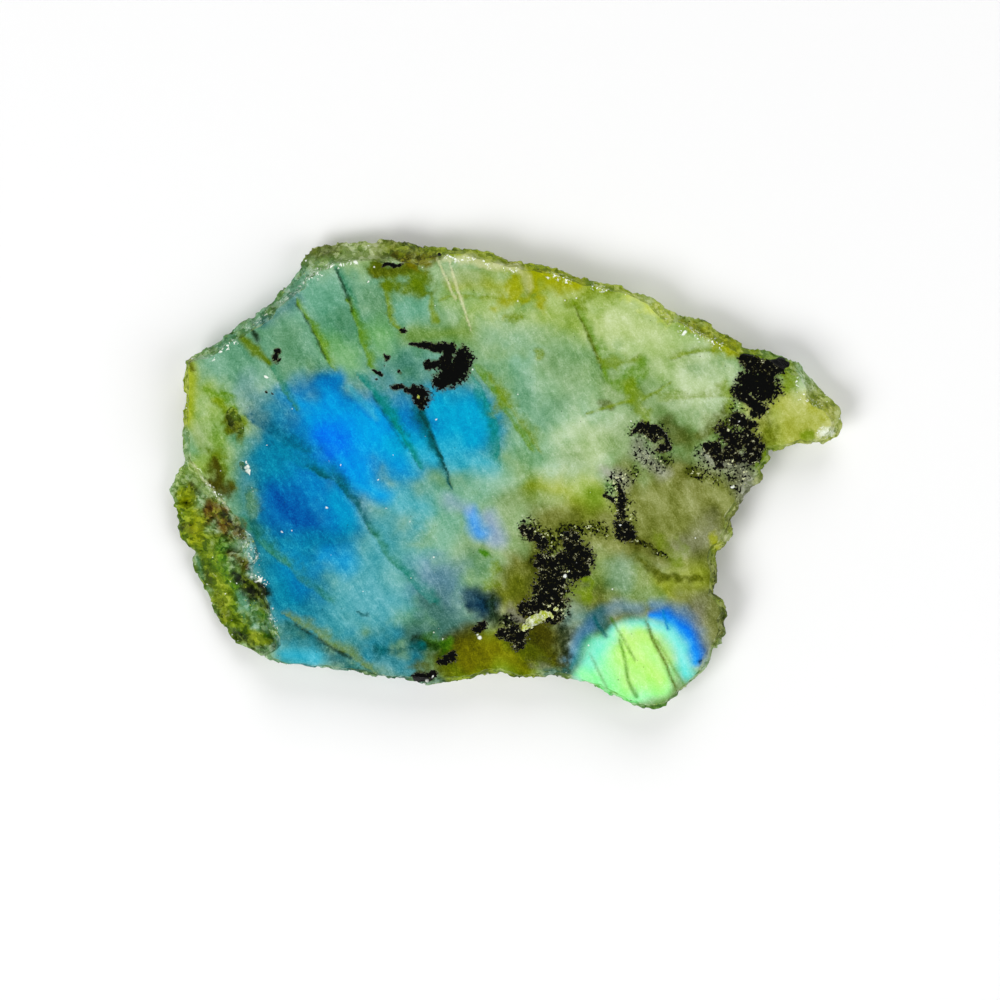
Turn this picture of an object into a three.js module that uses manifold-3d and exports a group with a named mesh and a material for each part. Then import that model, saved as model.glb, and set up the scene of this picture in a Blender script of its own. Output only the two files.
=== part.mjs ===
// A slab of labradorite: one thin piece of feldspar, sawn flat on its back, polished flat on its face
// and left broken all the way round. It lies on its back with the polished face up.
// Millimetres. X runs along the slab, Y across it, Z up. Z = 0 is the sawn back.

import * as THREE from "three";
import { mergeVertices } from "three/addons/utils/BufferGeometryUtils.js";
import Module from "manifold-3d";

const THICKNESS = 7;

// How finely the rim is broken up.
const STATION_STEP = 1.15; // along the outline
const BEVEL_STRIPS = 5; // from the polished face out to the lip
const SIDE_STRIPS = 3; // from the lip down to the sawn back
const NORMAL_REACH = 4; // stations each way over which the inward direction is averaged

// How deep the lip lies below the polished face, for a bevel of a given width.
const LEAST_DROP = 0.6;
const DROP_POWER = 0.8;
const MOST_DROP = 4.6;
const THINNEST_LIP = 1.2; // the stone is never thinner than this under the lip

// A narrow bevel is one slope with one break. A ledge falls steeply from the face, then runs out
// gently in steps. Widths between these two are part one, part the other.
const NARROW_BEVEL = 1.5;
const LEDGE_BEVEL = 5;
const STEEP_SHARE = 0.25; // part of a ledge's width taken by the steep fall
const STEEP_DROP = 0.5; // part of a ledge's depth taken by the steep fall

// The stone splits in steps along its cleavage.
const CLEAVAGE_TURN = THREE.MathUtils.degToRad(-58); // direction of the steps, from +X
const CELL_ALONG = 6.5;
const CELL_ACROSS = 2.8;
const CELL_TALL = 2.6;
const CELL_TILT = 0.45; // slope of one split plane, at most
const BEVEL_ROUGHNESS = 0.22; // steps on a bevel, as a part of its depth
const EDGE_WANDER = 0.4; // chips in the polished face's edge, as a part of the bevel's width
const SIDE_ROUGHNESS = 0.55; // how far the sides break back under the lip
const BACK_INSET = 0.7; // the sawn back stops this far inside the lip

// The outline of the lip, clockwise from the upper left corner, as [x, y, width of the bevel there].
const UPPER_LEFT = [
  [-45.7, 16.3, 0.9], [-43.5, 17.6, 1.0], [-41.4, 18.9, 1.1], [-39.3, 20.7, 1.3],
  [-36.4, 22.5, 1.4], [-33.6, 24.7, 1.5], [-31.3, 27.2, 1.8],
];
const SHOULDER = [
  [-29.8, 29.4, 2.4], [-28.7, 31.6, 3.0], [-26.9, 32.8, 3.3], [-24.4, 33.2, 3.3],
  [-18.2, 33.6, 3.4], [-15, 33.5, 3.0], [-12.1, 32.7, 2.2],
];
const TOP_EDGE = [
  [-8, 32.5, 1.2], [-4.4, 32.2, 1.0], [-1.7, 31.7, 1.1], [0.5, 30.7, 0.9],
  [4.2, 30.3, 0.9], [8, 29.3, 0.9], [11.5, 28, 0.8], [17, 26.9, 0.8],
  [20.8, 25.3, 1.0], [24.1, 23.5, 1.9], [28.8, 21.9, 2.4], [31.7, 20, 1.6], [34.2, 18.3, 0.9],
];
const BEAK = [
  [36.8, 17.9, 0.9], [40.1, 16.6, 1.1], [42.1, 16.1, 1.8], [44.3, 13.5, 2.3], [46.1, 11.2, 2.2],
  [47.8, 9.7, 1.8], [48.2, 7.8, 1.4], [48, 6.4, 1.4], [47.2, 5.4, 1.2], [45.5, 4.6, 0.9],
  [43.3, 4.3, 0.5], [42.3, 4.6, 0.5], [40.1, 3.8, 0.5], [37.8, 3.4, 0.7],
];
const NOTCH = [
  [37.8, 2.3, 1.1], [36.7, 0.7, 1.3], [36.7, -0.6, 1.5], [35.2, -2, 1.2], [33.9, -3.6, 0.9],
  [33.1, -5, 0.9], [32.5, -6.5, 1.0], [32.8, -7.8, 1.3], [32.1, -9.5, 1.4], [30.5, -10.6, 1.1],
  [30.1, -11.7, 1.1], [30.6, -13.8, 1.6], [29.8, -17, 1.0],
];
const KNOB = [
  [31.1, -18, 1.1], [32, -19.7, 1.3], [31.4, -21.5, 1.1], [31.8, -22.7, 1.4], [29.5, -25.7, 1.0],
  [28.8, -27.6, 0.7], [26.2, -29.9, 0.5], [23, -33, 0.5], [21.5, -33.6, 0.6], [19.4, -33.3, 0.6],
  [16.1, -31.9, 0.5], [12.4, -30.1, 0.5], [9, -29.1, 0.6],
];
const BOTTOM_EDGE = [
  [6.6, -28.7, 0.5], [2, -29.1, 0.6], [-0.7, -28.3, 0.7], [-2.7, -28.5, 0.8], [-6.3, -29.5, 0.7],
  [-11.4, -30, 0.9], [-15.6, -29.2, 0.6], [-20.9, -28.3, 0.5], [-25.6, -27.7, 0.5],
  [-31, -27.2, 0.5],
];
const LEFT_END = [
  [-45.9, 2.3, 1.0], [-46.1, 4.4, 0.9], [-46.1, 9.2, 1.3], [-45.8, 11.3, 0.9], [-46.1, 13.9, 1.3],
];

// Low on the left a wide piece has split off. Its lip and the face's edge above it go their own ways.
const LEDGE_LIP = [
  [-34.4, -26.1, 0.5], [-36.6, -25, 0], [-38.8, -24.2, 0], [-39.9, -22.9, 0], [-41.7, -20, 0],
  [-43, -17, 0],
  [-44.2, -14.7, 0], [-45.2, -12, 0], [-44.8, -11.1, 0], [-46.7, -8.6, 0], [-47.3, -6.1, 0],
  [-47.5, -4, 0], [-48.3, -2, 0], [-48.1, -1.2, 0], [-47, 0.4, 0],
];
const LEDGE_FACE_EDGE = [
  [-34.1, -25.6], [-31.5, -24.6], [-31.8, -22.9], [-33.4, -19.5], [-33.9, -15.9], [-35.9, -13.9],
  [-35.6, -11.5], [-36.2, -10], [-37.9, -6.8], [-39.3, -5], [-41.7, -2.7], [-43.1, -0.1],
  [-45, 1.7],
];

// Small pits where a grain has fallen out of the polished face.
const PITS = [
  { x: -38.8, y: 7.7, length: 4.2, width: 2.4, depth: 0.9, turn: -60 },
  { x: -37.4, y: 1.1, length: 2, width: 1, depth: 0.5, turn: -60 },
  { x: 4.1, y: -20.8, length: 3.2, width: 1.5, depth: 0.7, turn: 30 },
];
const PIT_ROUGHNESS = 0.18;

const STONE = new THREE.MeshStandardMaterial({ color: 0x5f8a7a, roughness: 0.35, metalness: 0 });

// A number from 0 to 1 that depends only on the whole numbers given.
function chance(i, j, k, use) {
  let bits = Math.imul(i, 374761393) ^ Math.imul(j, 668265263);
  bits ^= Math.imul(k, 1440662683) ^ Math.imul(use, 974711);
  bits = Math.imul(bits ^ (bits >>> 13), 1274126177);
  bits = Math.imul(bits ^ (bits >>> 15), 1103515245);
  return ((bits ^ (bits >>> 16)) >>> 0) / 2 ** 32;
}

// Height of the split surface at a point, from about -1 to 1: every cell breaks on a plane of its own.
function splitHeight(x, y, z) {
  const along = (x * Math.cos(CLEAVAGE_TURN) + y * Math.sin(CLEAVAGE_TURN)) / CELL_ALONG;
  const across = (y * Math.cos(CLEAVAGE_TURN) - x * Math.sin(CLEAVAGE_TURN)) / CELL_ACROSS;
  const up = z / CELL_TALL;
  let nearest = Infinity;
  let height = 0;
  for (let i = Math.floor(along) - 1; i <= Math.floor(along) + 1; i++) {
    for (let j = Math.floor(across) - 1; j <= Math.floor(across) + 1; j++) {
      for (let k = Math.floor(up) - 1; k <= Math.floor(up) + 1; k++) {
        const da = along - i - chance(i, j, k, 1);
        const dc = across - j - chance(i, j, k, 2);
        const du = up - k - chance(i, j, k, 3);
        const distance = da * da + dc * dc + du * du;
        if (distance < nearest) {
          nearest = distance;
          const level = 2 * chance(i, j, k, 4) - 1;
          const tiltAlong = (2 * chance(i, j, k, 5) - 1) * CELL_TILT;
          const tiltAcross = (2 * chance(i, j, k, 6) - 1) * CELL_TILT;
          height = level + 2 * (tiltAlong * da + tiltAcross * dc);
        }
      }
    }
  }
  return THREE.MathUtils.clamp(height, -1, 1);
}

// Points at even steps along an open run of [x, y, bevel] points, its last point left to the next run.
function walk(run, next) {
  const path = [...run, next];
  const stations = [];
  for (let i = 0; i + 1 < path.length; i++) {
    const [from, to] = [path[i], path[i + 1]];
    const steps = Math.max(1, Math.round(Math.hypot(to[0] - from[0], to[1] - from[1]) / STATION_STEP));
    for (let step = 0; step < steps; step++) {
      const share = step / steps;
      const [x, y, bevel] = from.map((value, axis) => THREE.MathUtils.lerp(value, to[axis], share));
      stations.push({ lip: new THREE.Vector2(x, y), bevel });
    }
  }
  return stations;
}

// The point at a given share of the length of an open line.
function pointAlong(line, share) {
  const path = new THREE.CurvePath();
  for (let i = 0; i + 1 < line.length; i++) {
    path.add(new THREE.LineCurve(new THREE.Vector2(...line[i]), new THREE.Vector2(...line[i + 1])));
  }
  return path.getPointAt(share);
}

// Every station has a lip point, the direction straight inwards from it, and a point on the polished
// face's edge. On the ledge that point comes from the ledge's own line, elsewhere it lies inwards.
function makeStations() {
  const runs = [UPPER_LEFT, SHOULDER, TOP_EDGE, BEAK, NOTCH, KNOB, BOTTOM_EDGE, LEDGE_LIP, LEFT_END];
  const stations = runs.flatMap((run, index) => {
    const found = walk(run, runs[(index + 1) % runs.length][0]);
    if (run === LEDGE_LIP) {
      found.forEach((station, i) => {
        station.face = pointAlong(LEDGE_FACE_EDGE, (i + 1) / (found.length + 1));
      });
    }
    return found;
  });
  const count = stations.length;
  stations.forEach((station, i) => {
    const before = stations[(i - NORMAL_REACH + count) % count].lip;
    const after = stations[(i + NORMAL_REACH) % count].lip;
    const along = after.clone().sub(before).normalize();
    station.inwards = new THREE.Vector2(along.y, -along.x);
    station.face ??= station.lip.clone().addScaledVector(station.inwards, station.bevel);
    const slope = station.face.clone().sub(station.lip);
    station.bevel = slope.length();
    const chip = EDGE_WANDER * splitHeight(station.face.x, station.face.y, THICKNESS);
    station.face.add(slope.setLength(chip * Math.min(station.bevel, NARROW_BEVEL)));
  });
  return stations.reverse(); // anticlockwise from above
}

// Share of a ledge's depth that is lost at a share of the way out to the lip.
function ledgeProfile(share) {
  if (share < STEEP_SHARE) return (share / STEEP_SHARE) * STEEP_DROP;
  return STEEP_DROP + ((share - STEEP_SHARE) / (1 - STEEP_SHARE)) * (1 - STEEP_DROP);
}

// One ring of points on the broken bevel. Share 0 is the face's edge and share 1 is the lip.
function bevelRing(stations, share) {
  return stations.map(({ lip, face, bevel }) => {
    const { x, y } = face.clone().lerp(lip, share);
    if (share === 0) return new THREE.Vector3(x, y, THICKNESS);
    const depth = Math.min(MOST_DROP, LEAST_DROP + bevel ** DROP_POWER);
    const narrow = share * (1 - BEVEL_ROUGHNESS * splitHeight(lip.x, lip.y, THICKNESS));
    const ledge = ledgeProfile(share) - BEVEL_ROUGHNESS * splitHeight(x, y, THICKNESS - depth * share);
    const ledgeLike = THREE.MathUtils.smoothstep(bevel, NARROW_BEVEL, LEDGE_BEVEL);
    const z = THICKNESS - depth * THREE.MathUtils.lerp(narrow, ledge, ledgeLike);
    return new THREE.Vector3(x, y, THREE.MathUtils.clamp(z, THINNEST_LIP, THICKNESS - LEAST_DROP * share));
  });
}

// One ring of points on the broken side, which runs back a little below the lip. Share 1 is the back.
function sideRing(stations, lipRing, share) {
  return stations.map(({ lip, inwards }, i) => {
    const z = lipRing[i].z * (1 - share);
    const roughness = SIDE_ROUGHNESS * (1 + splitHeight(lip.x, lip.y, z));
    const inset = share * BACK_INSET + roughness * Math.min(1, 2 * share);
    const { x, y } = lip.clone().addScaledVector(inwards, inset);
    return new THREE.Vector3(x, y, z);
  });
}

// A closed solid from rings of equal length, the first ring the top and the last the bottom.
function solidFromRings(rings) {
  const count = rings[0].length;
  const triangles = [];
  const flat = (ring) => ring.map(({ x, y }) => new THREE.Vector2(x, y));
  THREE.ShapeUtils.triangulateShape(flat(rings[0]), []).forEach((face) => triangles.push(...face));
  for (let ring = 0; ring + 1 < rings.length; ring++) {
    for (let i = 0; i < count; i++) {
      const a = ring * count + i;
      const b = ring * count + ((i + 1) % count);
      const [c, d] = [a + count, b + count];
      if (chance(ring, i, 0, 7) < 0.5) triangles.push(a, c, d, a, d, b);
      else triangles.push(a, c, b, b, c, d);
    }
  }
  const last = (rings.length - 1) * count;
  THREE.ShapeUtils.triangulateShape(flat(rings.at(-1)), []).forEach(([a, b, c]) => {
    triangles.push(last + a, last + c, last + b);
  });
  return new THREE.BufferGeometry().setFromPoints(rings.flat()).setIndex(triangles);
}

function slabGeometry() {
  const stations = makeStations();
  const rings = [];
  for (let strip = 0; strip <= BEVEL_STRIPS; strip++) {
    rings.push(bevelRing(stations, strip / BEVEL_STRIPS));
  }
  const lipRing = rings.at(-1);
  for (let strip = 1; strip <= SIDE_STRIPS; strip++) {
    rings.push(sideRing(stations, lipRing, strip / SIDE_STRIPS));
  }
  return solidFromRings(rings);
}

// A lumpy bowl, sunk to its middle in the polished face.
function pitGeometry({ x, y, length, width, depth, turn }) {
  const bowl = mergeShared(new THREE.IcosahedronGeometry(1, 1));
  const points = bowl.getAttribute("position");
  for (let i = 0; i < points.count; i++) {
    const lump = 1 + PIT_ROUGHNESS * (2 * chance(i, Math.round(x), Math.round(y), 8) - 1);
    points.setXYZ(i, points.getX(i) * lump, points.getY(i) * lump, points.getZ(i) * lump);
  }
  return bowl
    .scale(length / 2, width / 2, depth)
    .rotateZ(THREE.MathUtils.degToRad(turn))
    .translate(x, y, THICKNESS);
}

// Leaves only the positions, with each shared corner stored once.
function mergeShared(geometry) {
  geometry.deleteAttribute("normal");
  geometry.deleteAttribute("uv");
  return mergeVertices(geometry, 1e-4);
}

const wasm = await Module();
wasm.setup();

function toManifold(geometry) {
  return new wasm.Manifold(
    new wasm.Mesh({
      numProp: 3,
      vertProperties: new Float32Array(geometry.getAttribute("position").array),
      triVerts: new Uint32Array(geometry.index.array),
    }),
  );
}

function toGeometry(solid) {
  const { vertProperties, triVerts } = solid.getMesh();
  return new THREE.BufferGeometry()
    .setAttribute("position", new THREE.BufferAttribute(vertProperties, 3))
    .setIndex(new THREE.BufferAttribute(triVerts, 1));
}

// The part's origin is the middle of its box, on the sawn back.
function centred(geometry) {
  geometry.computeBoundingBox();
  const middle = geometry.boundingBox.getCenter(new THREE.Vector3());
  return geometry.translate(-middle.x, -middle.y, 0);
}

function makeSlab() {
  const whole = toManifold(slabGeometry());
  const pitted = PITS.reduce((solid, pit) => solid.subtract(toManifold(pitGeometry(pit))), whole);
  const slab = new THREE.Mesh(centred(toGeometry(pitted)), STONE);
  slab.name = "slab";
  return slab;
}

const part = new THREE.Group();
part.add(makeSlab());

export default part;
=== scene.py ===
"""The looks of a slab of labradorite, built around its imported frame.

The slab lies on its sawn back with the polished face up, on a plain pale floor, and the camera looks
straight down on it. Places on the stone are in millimetres in the part's own frame: X along the slab,
Y across it, Z = 0 at the sawn back. The mesh itself is in metres.
"""
import itertools
import math

import bmesh
import bpy
import numpy as np
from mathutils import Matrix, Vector, geometry, kdtree


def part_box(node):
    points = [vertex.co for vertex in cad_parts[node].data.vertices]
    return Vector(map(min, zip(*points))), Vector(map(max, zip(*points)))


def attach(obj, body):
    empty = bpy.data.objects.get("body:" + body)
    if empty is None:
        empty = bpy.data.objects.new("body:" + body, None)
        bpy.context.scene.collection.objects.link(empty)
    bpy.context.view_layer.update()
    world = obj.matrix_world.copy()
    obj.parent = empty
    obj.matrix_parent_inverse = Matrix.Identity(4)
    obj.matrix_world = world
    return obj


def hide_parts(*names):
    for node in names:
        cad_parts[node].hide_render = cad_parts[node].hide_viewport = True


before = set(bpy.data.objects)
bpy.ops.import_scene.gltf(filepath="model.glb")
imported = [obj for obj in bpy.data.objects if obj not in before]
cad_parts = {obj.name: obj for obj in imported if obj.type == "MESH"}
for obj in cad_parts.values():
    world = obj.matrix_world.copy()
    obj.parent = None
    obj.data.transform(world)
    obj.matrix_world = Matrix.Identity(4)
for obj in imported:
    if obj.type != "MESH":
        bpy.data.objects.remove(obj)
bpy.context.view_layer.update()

MM = 0.001
FLAT = 1e-3  # a corner this close to a plane, in millimetres, lies in it
TINY = 1e-3  # keeps a division away from 0
SEED = 7

# ---- fineness of the mesh

RIM_CUTS = 3  # cuts in each edge of the rim's facets
FACE_SPACING = 0.27  # between points of the polished face
BACK_SPACING = 0.9  # between points of the sawn back
CLEAVAGE_TURN = math.radians(-58)  # direction in which the stone splits, from +X
SAW_TURN = math.radians(12)  # direction of the saw's scratches on the back, from +X
CHIPS_FULL = 1.2  # this far under the face the chips have their full depth
BACK_MARGIN, FACE_MARGIN = 0.05, 0.02  # that the chips leave over the back and under the face
CHIP_SIZES = (  # (cell along, across and up the cleavage, height of the steps)
    ((3.0, 1.3, 1.3), 0.24),
    ((1.1, 0.6, 0.6), 0.12),
)
DEPTH = 0.7  # how much the stone's clouds deepen or pale its colour
CALM_TO_CLOUDY = (-8, 12)  # the clouds grow stronger between these places along X
PURITY = 0.9  # how much of the grey is taken out of a colour that is nearly pure
SHINE_DEPTH = (2.5, 0.2)  # under the face, where the flashes are gone and where they are full
GRAIN_DEPTH = 0.07  # black grains polish away faster than the feldspar

POLISHED, BROKEN, SAWN = range(3)  # material slots of the mesh

# ---- palette


def colour(code):
    """A six-figure sRGB code as the linear RGBA that the shaders take."""
    channels = [int(code[i:i + 2], 16) / 255 for i in (0, 2, 4)]
    return [c / 12.92 if c <= 0.04045 else ((c + 0.055) / 1.055) ** 2.4 for c in channels] + [1.0]


# Plain feldspar.
SLATE = colour("7094A8")
SLATE_BLUE = colour("5C88B4")
GREY_TEAL = colour("62968A")
TEAL_PALE = colour("7CB298")
SAGE = colour("6CA080")
GREY_GREEN = colour("68966C")
LEAF = colour("7BB072")
MINT_GREY = colour("94BC98")
WILLOW = colour("92B27E")
PRIMROSE = colour("B4C884")
SEA_GREY = colour("457268")
LAGOON = colour("528280")
SPRUCE = colour("3F8664")
PALE_SAGE = colour("A4BA8C")
BONE = colour("C0D4A0")
FRESH = colour("96B25A")
BUTTER = colour("A6BC6A")
STRAW = colour("B6BC64")
MOSS = colour("7A924C")
KHAKI = colour("808848")
KHAKI_YELLOW = colour("9AA83C")
DARK_KHAKI = colour("666C2E")
ASH = colour("7C7C6C")
GRIT = colour("5E605A")
PEWTER = colour("9EA092")
FADED = colour("ACBC78")
CITRON = colour("CCD870")
CREAM = colour("CFD4A4")
WHITE = colour("F4FAF0")

# Stains and rock grown into the feldspar.
BOG = colour("5F7A04")
YELLOW_OLIVE = colour("9CA40A")
GOLD_OLIVE = colour("A4B234")
OLIVE = colour("76900E")
GREEN_OLIVE = colour("659014")
DARK_OLIVE = colour("525C08")
BROWN_OLIVE = colour("44430A")
BRONZE = colour("6C6A06")
GRASS = colour("44800C")
BROWN = colour("5A3008")
BLACK_GREEN = colour("0E2408")
BLACK = colour("040504")

# Colours of the flash.
BLUE = colour("0A7CBC")
DEEP_BLUE = colour("065AA4")
VIVID_BLUE = colour("0074E8")
AZURE = colour("029CE0")
CYAN = colour("0AA2CC")
PALE_CYAN = colour("54B8CE")
TEAL_BLUE = colour("0A7E9E")
PALE_TEAL = colour("5CA8B2")
SEA = colour("0A8478")
DARK_SEA = colour("04585A")
DEEP_TEAL = colour("045E78")
PERIWINKLE = colour("72B2F0")
LILAC = colour("93A9C8")
NIGHT = colour("12344E")
KNOB_MINT = colour("A4FCB0")
KNOB_LIME = colour("CCFA8E")
KNOB_ICE = colour("8CF2EC")
KNOB_BLUE = colour("1486F6")

# ---- markings
#
# A marking is a brush stroke: (tint, strength, core, (x, y, half width), (x, y, half width), ...). The core
# is the share of the half width that has the full strength. It is left out where it is 0, which is softest.

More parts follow.
